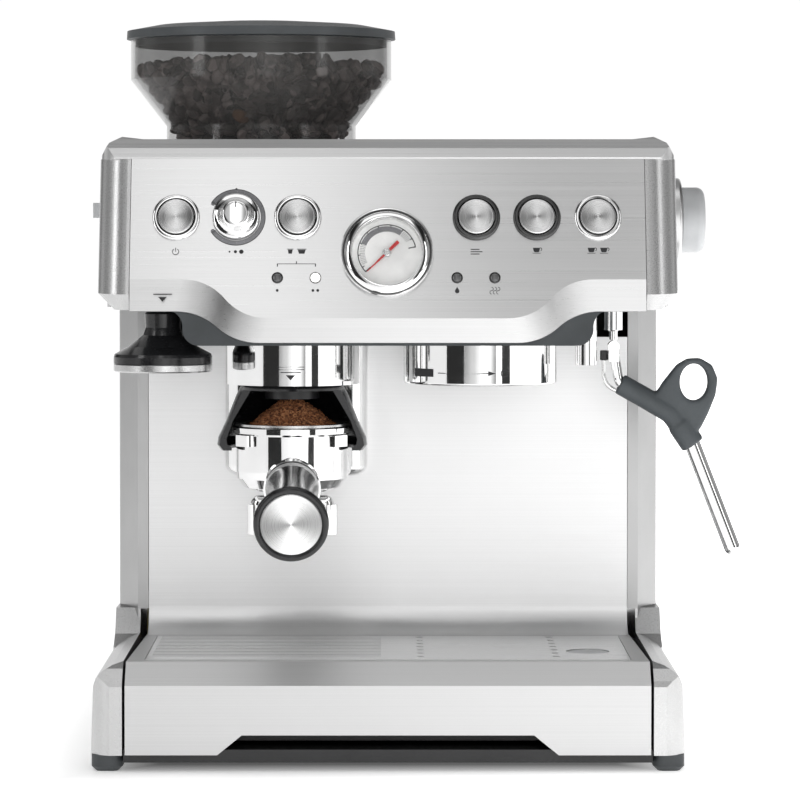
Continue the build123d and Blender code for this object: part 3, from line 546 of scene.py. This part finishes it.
def make_grind_dial():
    """The grind-amount dial with its fluted side and pointer, and the printed scale round it."""
    flutes, depth = 60, 0.07

    def flute(angle, radius, height):
        return depth * math.cos(flutes * angle) if 4.6 < height < 7.6 and radius > 7 else 0

    profile = [(0, 8.35), (5.5, 8.3), (6.6, 8.15), (7.2, 7.8), (7.7, 7.0), (8.4, 6.0), (9.3, 4.9), (9.8, 4.4),
               (10.4, 3.95), (11.6, 3.75), (12.5, 3.3), (12.85, 2.5), (12.9, 0.7), (3.0, 0.7), (3.0, -7.5),
               (0, -7.5)]
    place = on_panel(middle("grind_dial"))
    dial = piece("grind_dial_knob", *lathe(profile, 240, flute), "chrome", "grind_dial", "button_steel",
                 place, sharp=TURNED_SHARP)
    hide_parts("grind_dial")
    top = Matrix.Translation(PANEL_NORMAL * 8.3 * MM) @ place
    pointer = [(0, bar(-0.35, 3.2, 0.35, 6.2)), (0, disc(0.55, (0, 6.0)))]
    printed("grind_dial_pointer", pointer, "grey_print", "grind_dial", "button_steel", top, 0.16)
    inner, outer, half_sweep, line = 13.6, 16.0, 148, 0.35
    shapes = [(0, band(outer - line, outer, -half_sweep, half_sweep)),
              (1, band(inner, outer - line, -half_sweep, half_sweep)),
              (0, disc(0.62, (0, outer))),
              (0, band(inner - 0.2, inner, -half_sweep, half_sweep))]
    for end in (-half_sweep, half_sweep):
        tip = arc((inner + outer) / 2, end, end, 1)[0]
        shapes.append((1, disc((outer - inner) / 2, tip)))
    shapes += [(2, spoke(angle, inner + 0.5, outer - 0.8, 0.3)) for angle in range(-136, 137, 16)]
    printed("grind_scale", shapes, "print grey_print light_print", "root", "dark_grey", place)


def make_lenses():
    """Domed indicator lenses with dark rims. One is lit."""
    dome = [(0, 1.25), (1.1, 1.15), (2.0, 0.85), (2.55, 0.45), (2.62, 0.0), (2.62, -4.5), (0, -4.5)]
    rim = [(2.62, -0.5), (2.62, 0.5), (2.75, 0.72), (2.95, 0.7), (3.1, 0.5), (3.15, 0.02), (3.15, -0.5)]
    lit = 1
    for i, spot in enumerate(islands("led_lenses")):
        place = on_panel(spot)
        paint = "lit" if i == lit else "lens"
        lens = piece(f"led_{i}", *lathe(dome, 40), paint, "root", "lens", place, sharp=TURNED_SHARP)
        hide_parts("led_lenses")
        piece(f"led_rim_{i}", *lathe(rim, 40), "ring_dark", "root", "chrome", place, sharp=TURNED_SHARP)


def make_gauge():
    """The pressure gauge: its printed scale, ringed bezel, and red needle at rest."""
    print_height = 0.9
    place = on_panel(GAUGE, print_height)
    first, last, low, high = 12, 223, 11.9, 14.9
    shapes = [(0, band(15.5, 16.0, first, last)), (0, spoke(first, low, 15.9, 0.55)),
              (0, spoke(last, low, 15.9, 0.55)), (1, band(low, high, 55, 160))]
    shapes += [(0, spoke(last - 11.5 - 25.9 * i, 14.3, 15.8, 0.5)) for i in range(8)]
    shapes += [(2, spoke(angle, low, high, 0.34)) for angle in range(162, 207, 4)]
    shapes += [(2, spoke(angle, low, high, 0.34)) for angle in range(31, 54, 4)]
    printed("gauge_scale", shapes, "print grey_print light_print", "root", "gauge_white", place, 0.08)
    bezel = [(19.1, 0.9), (19.1, 3.9), (19.35, 4.2), (20.0, 4.15), (23.3, 2.7), (23.5, 2.2), (24.0, 2.2),
             (24.1, 2.9), (24.6, 3.0), (25.1, 2.4), (25.2, 1.6), (25.2, 0.02), (22.0, 0.02), (22.0, -19.0),
             (17.5, -19.0), (17.5, 0.05), (19.0, 0.05)]
    face = on_panel(GAUGE)
    collar = piece("gauge_bezel_ring", *lathe(bezel, 144), "chrome", "root", "chrome", face, sharp=50)
    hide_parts("gauge_bezel")
    groove = [(23.35, 2.15), (23.4, 2.75), (23.7, 2.85), (24.05, 2.7), (24.05, 2.15)]
    piece("gauge_bezel_line", *lathe(groove, 144), "ring_dark", "root", "chrome", face, sharp=TURNED_SHARP)

    rest_angle, needle_height = 225, 1.35
    aim = on_panel(GAUGE, needle_height) @ Matrix.Rotation(math.radians(rest_angle), 4, "Z")
    outline = [(-8.6, -0.95), (-8.6, 0.95), (-1.5, 0.75), (2.0, 0.62), (15.4, 0.12), (15.4, -0.12),
               (2.0, -0.62), (-1.5, -0.75)]
    needle = printed("needle_blade", [(0, outline)], "red", "gauge_needle", "needle_red", aim, 0.5)
    soften(needle, 0.12, 2)
    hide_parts("gauge_needle")
    hub = [(0, 2.45), (0.5, 2.4), (0.7, 2.1), (1.2, 2.15), (2.0, 2.0), (2.4, 1.5), (2.4, 1.0), (0.85, 1.0),
           (0.85, -5), (0, -5)]
    piece("needle_hub", *lathe(hub, 48), "steel", "gauge_needle", "needle_red", face, sharp=TURNED_SHARP)


def cup_icon(u, v):
    """A cup with its handle, over a saucer line."""
    bowl = [(u - 2.0, v + 1.2), (u - 1.5, v - 0.9), (u - 0.9, v - 1.3), (u + 0.9, v - 1.3),
            (u + 1.5, v - 0.9), (u + 2.0, v + 1.2)]
    handle = band(0.65, 1.0, -75, 95, (u + 2.0, v + 0.35), 10)
    return [(0, bowl), (0, handle), (0, bar(u - 2.2, v - 2.0, u + 2.2, v - 1.75))]


def panel_icons():
    """Generic marks under the controls: no lettering."""
    labels, lamps = 15.6, -6.2
    power, dial, size, program = -115.0, -82.4, -49.5, 48.0
    shapes = [(0, band(1.5, 1.9, 125, 415, (power, labels), 24)),
              (0, bar(power - 0.2, labels, power + 0.2, labels + 2.2))]
    shapes += [(0, disc(0.5 + 0.35 * i, (dial - 3.4 + 3.2 * i, labels))) for i in range(3)]
    for offset, half in ((-3.4, 1.3), (2.8, 2.1)):
        u = size + offset
        basket = [(u - half, labels + 1.1), (u - half * 0.7, labels - 1.1), (u + half * 0.7, labels - 1.1),
                  (u + half, labels + 1.1)]
        rim = bar(u - half - 0.5, labels + 1.3, u + half + 0.5, labels + 1.6)
        shapes += [(0, basket), (0, rim)]
    shapes += [(0, bar(program - 3.2, labels + d - 0.22, program + 3.2 - 1.2 * abs(d), labels + d + 0.22))
               for d in (-1.3, 0, 1.3)]
    left, right, tie = -59.8, -39.2, 8.6
    shapes += [(0, bar(left, tie, right, tie + 0.3)),
               (0, bar(left - 0.25, tie - 1.4, left + 0.3, tie + 0.3)),
               (0, bar(right - 0.3, tie - 1.4, right + 0.25, tie + 0.3)),
               (0, bar(size - 0.25, tie, size + 0.25, tie + 1.6))]
    shapes += [(0, disc(0.75, (u, lamps))) for u in (left, right - 1.3, right + 1.3)]
    clean, steam = 37.4, 57.8
    shapes += [(0, arc(1.2, 150, 390, 16, (clean, lamps - 0.4)) + [(clean, lamps + 2.0)])]
    for i in range(3):
        u = steam - 1.8 + 1.8 * i
        shapes += [(0, band(0.8, 1.1, -90, 90, (u, lamps + 0.8), 8)),
                   (0, band(0.8, 1.1, 90, 270, (u, lamps - 1.1), 8))]
    shapes += cup_icon(80.5, labels + 1) + cup_icon(110.2, labels + 1) + cup_icon(117.0, labels + 1)
    tamper_u, tamper_v = -121.7, -11.2
    shapes += [(0, [(tamper_u - 2.3, tamper_v + 1.3), (tamper_u, tamper_v - 1.3),
                    (tamper_u + 2.3, tamper_v + 1.3)]),
               (0, bar(tamper_u - 5, tamper_v + 2.6, tamper_u + 5, tamper_v + 3.1))]
    corner = GAUGE + Vector((1, 0, 0)) * 0.5 * MM - PANEL_UP * 14.8 * MM
    printed("panel_marks", shapes, "print", "root", "dark_grey", on_panel(corner, 0.01))


def collar_marks():
    """Arrows on the two round collars, bent to their fronts."""
    def bend(radius):
        return lambda x, y, height: ((radius + height) * math.sin(x / radius),
                                     -(radius + height) * math.cos(x / radius), y)

    def ruled(half, low, high, count=8):
        """A bar cut into short steps, so that it can bend."""
        steps = [half * (2 * i / count - 1) for i in range(count + 1)]
        return [(x, low) for x in steps] + [(x, high) for x in reversed(steps)]

    outlet_radius, outlet_height, group_radius, group_height = 37.12, 210.9, 42.62, 213.4
    shapes = [(0, [(-2.6, 1.4), (0, -1.4), (2.6, 1.4)]), (0, ruled(5.5, 2.6, 3.1)),
              (0, ruled(7.5, 4.2, 4.6)), (0, ruled(7.5, 5.6, 6.0))]
    place = Matrix.Translation(at(*OUTLET_AXIS, outlet_height))
    printed("grinder_marks", shapes, "print", "root", "dark_grey", place, 0.1, bend(outlet_radius))
    steps = [math.radians(a) * group_radius for a in range(-34, 7, 4)]
    line = [(x, 0.25) for x in steps] + [(x, -0.25) for x in reversed(steps)]
    box_steps = [math.radians(a) * group_radius for a in range(-58, -35, 4)]
    box = [(x, 2.2) for x in box_steps] + [(x, -2.2) for x in reversed(box_steps)]
    tip = steps[-1]
    shapes = [(0, line), (0, [(tip - 1, 1.3), (tip + 3.2, 0), (tip - 1, -1.3)]), (0, box),
              (0, band(1.6, 2.1, 20, 340, (tip + 8, 0), 24))]
    place = Matrix.Translation(at(*GROUP_AXIS, group_height))
    printed("group_marks", shapes, "print", "root", "dark_grey", place, 0.1, bend(group_radius))


# ---------------------------------------------------------------------------
# Coffee
# ---------------------------------------------------------------------------

def hopper_radius(z):
    """Inner radius of the hopper at a height, in millimetres."""
    low, high, neck, bowl = 351.0, 378.0, 52.0, 72.4
    return neck + (bowl - neck) * min(max((z - low) / (high - low), 0), 1)


def bean_shape(rings=7, segments=12):
    """One bean: an ellipsoid with a flat face and a crease along it. Its far tip has no faces."""
    vertices, faces = [], []
    for i in range(rings + 1):
        polar = math.pi * i / rings
        count = 1 if i in (0, rings) else segments
        for j in range(count):
            turn = 2 * math.pi * j / segments
            x = math.cos(polar)
            y, z = math.sin(polar) * math.cos(turn), math.sin(polar) * math.sin(turn)
            if z < 0:
                z = z * 0.45 + 0.35 * math.exp(-((y / 0.28) ** 2)) * (1 - x * x)
            vertices.append(Vector((x * 5.4, y * 3.8, z * 3.5)))
    for i in range(rings - 1):
        near, far = 1 + segments * (i - 1), 1 + segments * i
        for j in range(segments):
            k = (j + 1) % segments
            if i == 0:
                faces.append([0, far + j, far + k])
            else:
                faces.append([near + j, far + j, far + k, near + k])
    return vertices, faces


def make_beans():
    """Beans along the hopper's wall and over the heap's top, round a plain core, with one pale bean."""
    rng = random.Random(7)
    centre = at(*HOPPER_AXIS, 0)
    shape, shape_faces = bean_shape()
    spots = []
    tries, wanted, gap = 30000, 1000, 6.0
    bottom, top, heap_top, wall_gap, layer = 345, 392, 385, 3.6, 7
    for _ in range(tries):
        z = rng.uniform(bottom, top)
        turn = rng.uniform(0, 2 * math.pi)
        limit = hopper_radius(z - 3) - wall_gap
        heap = heap_top + 4.5 * noise.noise(Vector((math.cos(turn) * 1.6, math.sin(turn) * 1.6, 3)))
        top_layer = z > heap - layer
        r = limit * math.sqrt(rng.random()) if top_layer else limit - rng.random() * layer
        if z > heap:
            continue
        spot = Vector((r * math.cos(turn), r * math.sin(turn), z))
        if all((spot - other).length > gap for other in spots):
            spots.append(spot)
        if len(spots) >= wanted:
            break
    vertices, faces = [], []
    for spot in spots:
        turn = Matrix.Rotation(rng.uniform(0, RANDOM_TURN), 3, "Z")
        turn = turn @ Matrix.Rotation(rng.uniform(-1.2, 1.2), 3, "Y")
        turn = turn @ Matrix.Rotation(rng.uniform(0, RANDOM_TURN), 3, "X")
        size = rng.uniform(0.86, 1.06)
        base = len(vertices)
        vertices += [tuple(spot + turn @ v * size) for v in shape]
        faces += [[base + i for i in f] for f in shape_faces]
    place = Matrix.Translation(centre)
    piece("coffee_beans", vertices, faces, "bean", "bean_hopper", "smoke_clear", place, sharp=COFFEE_SHARP)
    core = [(0, 379), (40, 378), (60, 376), (62, 372), (42, 352), (20, 341), (0, 341)]
    piece("bean_core", *lathe(core, 64), "bean", "bean_hopper", "smoke_clear", place, sharp=COFFEE_SHARP)
    hopper_x, hopper_y = HOPPER_AXIS
    light_height, light_offset, yaw, roll = 355, 10, 0.5, -1.3
    light_y = hopper_y - hopper_radius(light_height - 1) + wall_gap
    place = Matrix.Translation(at(hopper_x - light_offset, light_y, light_height))
    place = place @ Matrix.Rotation(yaw, 4, "Y") @ Matrix.Rotation(roll, 4, "X")
    piece("light_bean", shape, shape_faces, "light_bean", "bean_hopper", "smoke_clear", place,
          sharp=COFFEE_SHARP)


def make_grounds():
    """The heap of ground coffee in the basket, with loose grains on it."""
    rng = random.Random(11)
    rings, segments, edge, foot, peak = 34, 110, 26.2, 180.6, 201.0
    grains, smallest, largest = 1500, 0.25, 0.7

    def height(x, y):
        r = math.hypot(x, y)
        body = (peak - foot) * (1 - r / edge) ** 0.9 if r < edge else 0
        lumps = 1.5 * noise.noise(Vector((x, y, 0)) * 0.22) + 0.8 * noise.noise(Vector((x, y, 9)) * 0.7)
        return foot + body + lumps * min(1, (edge - r) / 5)

    vertices, faces = [(0, 0, height(0, 0))], []
    for i in range(1, rings + 1):
        r = edge * i / rings
        for j in range(segments):
            turn = 2 * math.pi * j / segments
            x, y = r * math.cos(turn), r * math.sin(turn)
            vertices.append((x, y, height(x, y)))
    for j in range(segments):
        faces.append([0, 1 + j, 1 + (j + 1) % segments])
    for i in range(rings - 1):
        low, high = 1 + i * segments, 1 + (i + 1) * segments
        for j in range(segments):
            k = (j + 1) % segments
            faces.append([low + j, high + j, high + k, low + k])
    for _ in range(grains):
        r, turn = (edge - 1) * math.sqrt(rng.random()), rng.uniform(0, RANDOM_TURN)
        x, y = r * math.cos(turn), r * math.sin(turn)
        size, base = rng.uniform(smallest, largest), len(vertices)
        spin = Matrix.Rotation(rng.uniform(0, RANDOM_TURN), 3, "Z")
        spin = spin @ Matrix.Rotation(rng.uniform(0, RANDOM_TURN), 3, "X")
        spot = Vector((x, y, height(x, y)))
        corners = [Vector((1, 1, 1)), Vector((-1, -1, 1)), Vector((-1, 1, -1)), Vector((1, -1, -1))]
        vertices += [tuple(spot + spin @ c * size) for c in corners]
        faces += [[base, base + 1, base + 2], [base, base + 3, base + 1], [base, base + 2, base + 3],
                  [base + 1, base + 3, base + 2]]
    piece("ground_coffee", vertices, faces, "grounds", "portafilter", "black_plastic",
          Matrix.Translation(at(*OUTLET_AXIS, 0)), sharp=COFFEE_SHARP)


# ---------------------------------------------------------------------------
# Handles and steam side
# ---------------------------------------------------------------------------

def make_handle():
    """Portafilter handle: waisted grip, swollen end with a rounded rim and a faced steel disc."""
    along = Vector((2.6, -132, -17)).normalized()
    arm_start, arm_length = at(-52.4, 43, 152), 12.2
    place = axes(arm_start + along * arm_length * MM, along, (0, 0, 1))
    profile = [(0, 0), (14.2, 0), (14.7, 0.6), (14.2, 8), (13.0, 20), (12.7, 30), (13.0, 46), (14.0, 64),
               (15.4, 76), (16.6, 80.5), (16.9, 83), (16.9, 85.4), (17.4, 86.2), (18.9, 87.0), (19.6, 88.2),
               (19.8, 90), (19.75, 91.7), (19.3, 92.8), (18.4, 93.4), (17.4, 93.4), (16.7, 92.9),
               (16.5, 92.2), (0, 92.2)]
    handle = piece("handle_grip", *lathe(profile, 120), "gloss_black", "portafilter", "black_plastic", place,
                   sharp=TURNED_SHARP)
    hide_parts("portafilter_handle")
    disc_profile = [(0, 93.1), (8, 93.1), (15.4, 93.0), (16.0, 92.85), (16.3, 92.5), (16.3, 91.9), (0, 91.9)]
    piece("handle_disc", *lathe(disc_profile, 120), "faced", "portafilter", "stainless", place,
          sharp=TURNED_SHARP)


def remeshed(node, name, paint, body, voxel, rounds):
    """A softened copy of a CAD node's form, for a moulded part with no hard edges."""
    mesh = NODES[node].data.copy()
    obj = new_object(name, mesh)
    remesh = obj.modifiers.new("remesh", "REMESH")
    remesh.mode = "VOXEL"
    remesh.voxel_size = voxel * MM
    remesh.use_smooth_shade = True
    smooth = obj.modifiers.new("smooth", "SMOOTH")
    smooth.factor = 0.6
    smooth.iterations = rounds
    mesh.materials.clear()
    mesh.materials.append(PAINT[paint])
    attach(obj, body)
    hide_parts(node)


def pipe(name, points, radius, paint, body):
    """A thin tube along a smooth line."""
    curve = bpy.data.curves.new(name, "CURVE")
    curve.dimensions = "3D"
    curve.bevel_depth = radius * MM
    curve.bevel_resolution = 6
    curve.use_fill_caps = True
    spline = curve.splines.new("NURBS")
    spline.points.add(len(points) - 1)
    for point, target in zip(spline.points, points):
        point.co = (*at(*target), 1)
    spline.use_endpoint_u = True
    spline.order_u = 3
    spline.resolution_u = 16
    curve.materials.append(PAINT[paint])
    obj = new_object(name, curve)
    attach(obj, body)


def make_steam_side():
    """The wand's soft grip, the thin feed tube beside its ball with a clip, and the turned tip."""
    remeshed("steam_grip", "grip_sleeve", "silicone", "steam_wand", 0.9, 7)
    feed = [(119.6, 70, 221.5), (119.4, 70, 214), (119.8, 70, 208), (123, 70, 203.5), (127, 70, 202)]
    pipe("steam_feed", feed, 1.15, "chrome", "steam_wand")
    clip = [(0, 224.5), (1.9, 224.5), (2.3, 224.1), (2.3, 219.4), (1.9, 219), (0, 219)]
    piece("steam_feed_clip", *lathe(clip, 6), "black", "steam_wand", "black_plastic",
          Matrix.Translation(at(119.8, 70, 0)))
    cap = [(0, 1.3), (0.9, 1.35), (1.3, 1.1), (3.2, 2.4), (4.2, 3.9), (4.38, 4.9), (4.38, 8.2), (4.1, 8.4),
           (0, 8.4)]
    lance = Vector((24.7, 0, -64.0)).normalized()
    tube_end, overhang = at(190.9, 70, 115.2), 4.4
    place = axes(tube_end + lance * overhang * MM, -lance, (0, 1, 0))
    piece("steam_tip", *lathe(cap, 64), "chrome", "steam_wand", "chrome", place)


# ---------------------------------------------------------------------------
# Studio
# ---------------------------------------------------------------------------

def plain_card(name, centre, facing, width, height, build):
    """An emissive studio card that reflections show and the camera doesn't. build gives (position, strength)
    stops from its left to its right."""
    mesh = bpy.data.meshes.new(name)
    mesh.from_pydata([(-0.5, -0.5, 0), (0.5, -0.5, 0), (0.5, 0.5, 0), (-0.5, 0.5, 0)], [], [(0, 1, 2, 3)])
    obj = new_object(name, mesh)
    obj.matrix_world = axes(centre, facing, (0, 0, 1)) @ Matrix.Diagonal((width, height, 1, 1))
    material = bpy.data.materials.new(name)
    material.use_nodes = True
    tree = material.node_tree
    tree.nodes.clear()
    coords = tree.nodes.new("ShaderNodeTexCoord")
    split = tree.nodes.new("ShaderNodeSeparateXYZ")
    shift = tree.nodes.new("ShaderNodeMath")
    shift.operation = "SUBTRACT"
    shift.inputs[0].default_value = 0.5
    ramp = tree.nodes.new("ShaderNodeValToRGB")
    ramp.color_ramp.interpolation = "EASE"
    peak = max(value for _, value in build)
    fill_ramp(ramp, [(position, grey(value / peak)) for position, value in build])
    glow = tree.nodes.new("ShaderNodeEmission")
    glow.inputs["Strength"].default_value = peak
    output = tree.nodes.new("ShaderNodeOutputMaterial")
    tree.links.new(coords.outputs["Object"], split.inputs[0])
    tree.links.new(split.outputs["X"], shift.inputs[1])
    tree.links.new(shift.outputs[0], ramp.inputs[0])
    tree.links.new(ramp.outputs["Color"], glow.inputs["Color"])
    tree.links.new(glow.outputs[0], output.inputs[0])
    mesh.materials.append(material)
    obj.visible_camera = False


def make_world():
    """A soft room: white ahead and behind, darker overhead and in two bands at the sides, for edges on round
    metal."""
    world = bpy.data.worlds.new("studio")
    bpy.context.scene.world = world
    world.use_nodes = True
    tree = world.node_tree
    background = tree.nodes["Background"]
    coords = tree.nodes.new("ShaderNodeTexCoord")
    split = tree.nodes.new("ShaderNodeSeparateXYZ")
    side = tree.nodes.new("ShaderNodeMath")
    side.operation = "ABSOLUTE"
    product = tree.nodes.new("ShaderNodeMix")
    product.data_type = "RGBA"
    product.blend_type = "MULTIPLY"
    product.inputs[0].default_value = 1.0
    tree.links.new(coords.outputs["Generated"], split.inputs[0])
    tree.links.new(split.outputs["X"], side.inputs[0])
    across = [(0.0, 1.0), (0.42, 1.0), (0.55, 0.07), (0.72, 0.05), (0.84, 0.62), (0.93, 0.5), (1.0, 0.05)]
    upward = [(0.0, 1.0), (0.14, 1.0), (0.34, 0.7), (0.62, 0.32), (1.0, 0.3)]
    # The colour sockets of the Mix node, which has others by the same names
    first_colour, second_colour, mixed_colour = 6, 7, 2
    sources = ((first_colour, side.outputs[0], across), (second_colour, split.outputs["Z"], upward))
    for socket, value, stops in sources:
        ramp = tree.nodes.new("ShaderNodeValToRGB")
        fill_ramp(ramp, [(position, grey(level)) for position, level in stops])
        tree.links.new(value, ramp.inputs[0])
        tree.links.new(ramp.outputs["Color"], product.inputs[socket])
    tree.links.new(product.outputs[mixed_colour], background.inputs["Color"])
    background.inputs["Strength"].default_value = 1.02


def area(name, centre, target, width, height, power):
    """A soft rectangular light that faces a target."""
    light = bpy.data.lights.new(name, "AREA")
    light.shape = "RECTANGLE"
    light.size, light.size_y = width, height
    light.energy = power
    obj = new_object(name, light)
    obj.location = centre
    obj.rotation_euler = (Vector(target) - Vector(centre)).to_track_quat("-Z", "Y").to_euler()


def make_studio():
    """The pale floor with a painted shadow under the machine and painted light to the right, the world, the
    cards and the lights.
    """
    reach = 12.0
    corners = [(-reach, -reach, 0), (reach, -reach, 0), (reach, reach, 0), (-reach, reach, 0)]
    mesh = bpy.data.meshes.new("floor")
    mesh.from_pydata(corners, [], [(0, 1, 2, 3)])
    floor = new_object("floor", mesh)
    surface = Finish("floor_paper_painted_light_and_shadow", (0.93, 0.93, 0.93), 0.0, 0.55)
    surface.tint(surface.noise(0.8), (0.3, grey(0.92)), (0.7, grey(0.94)))
    surface.bump(surface.noise(500.0), 0.00005, 0.1)
    surface.shader.inputs["Emission Color"].default_value = (1, 1, 1, 1)
    place = surface.add("SeparateXYZ", {"Vector": surface.place()})
    # A painted shadow: the floor glows less under the machine, within these half sizes in metres; and painted
    # light: it glows more to the right
    half_width, half_depth = 0.155, 0.15
    gaps = []
    for axis, middle_line, half in (("X", MID_X, half_width), ("Y", FRONT_Y + half_depth, half_depth)):
        along = place.outputs[axis]
        offset = surface.add("Math", {0: along, 1: middle_line}, operation="SUBTRACT").outputs[0]
        away = surface.add("Math", {0: offset}, operation="ABSOLUTE").outputs[0]
        gaps.append(surface.add("Math", {0: away, 1: half}, operation="SUBTRACT").outputs[0])
    gap = surface.add("Math", {0: gaps[0], 1: gaps[1]}, operation="MAXIMUM").outputs[0]
    painted_shadow = surface.span(gap, 0.1, 1.0, -0.03, 0.045)
    painted_light_rightward = surface.span(place.outputs["X"], 0.74, 1.35, -0.2, 0.2)
    # The floor's glow: painted shadow under the machine, times painted light growing to the right.
    glow = surface.add("Math", {0: painted_shadow, 1: painted_light_rightward}, operation="MULTIPLY").outputs[0]
    surface.tree.links.new(glow, surface.shader.inputs["Emission Strength"])
    mesh.materials.append(surface.material)

    make_world()
    plain_card("key_card", at(0, -1700, 1430), (0, 0.829, -0.559), 1.6, 1.5,
               [(0.0, 0.2), (0.27, 0.6), (0.345, 2.1), (0.41, 2.1), (0.48, 1.3), (0.56, 0.4), (0.64, 0.1),
                (0.67, 0.3), (0.7, 1.0), (1.0, 0.3)])
    plain_card("front_card", at(0, -3400, 420), (0, 1, 0), 3.0, 1.3,
               [(0.0, 0.4), (0.3, 0.75), (0.45, 1.1), (0.58, 1.9), (0.72, 1.5), (1.0, 0.4)])
    plain_card("left_flag", at(-900, -1150, 560), (0.6, 0.8, 0), 0.75, 1.1, [(0.0, 0.03), (1.0, 0.03)])
    plain_card("right_flag", at(980, -1150, 560), (-0.6, 0.8, 0), 0.34, 1.1, [(0.0, 0.05), (1.0, 0.05)])
    area("top_light", at(0, -300, 1900), at(0, 0, 200), 1.6, 0.9, 4)
    area("left_light", at(-1500, -900, 900), at(0, 100, 200), 0.35, 1.2, 5)
    area("right_light", at(1500, -900, 900), at(0, 100, 200), 0.35, 1.2, 3)


def make_camera():
    """The photograph's view: a long lens far in front, higher than the machine's middle and tilted down."""
    distance, height, tilt_down = 2000, 302, 1.68
    data = bpy.data.cameras.new("camera")
    data.lens = 168.2
    data.sensor_width = 36.0
    data.shift_x, data.shift_y = 0.0151, -0.10
    data.clip_start, data.clip_end = 0.1, 60
    camera = new_object("camera", data)
    camera.location = at(0, -distance, height)
    camera.rotation_euler = (math.radians(90 - tilt_down), 0, 0)
    bpy.context.scene.camera = camera
    bpy.context.scene.view_settings.view_transform = "Standard"


paint_nodes()
make_buttons()
make_grind_dial()
make_lenses()
make_gauge()
panel_icons()
collar_marks()
make_beans()
make_grounds()
make_handle()
make_steam_side()
make_studio()
make_camera()
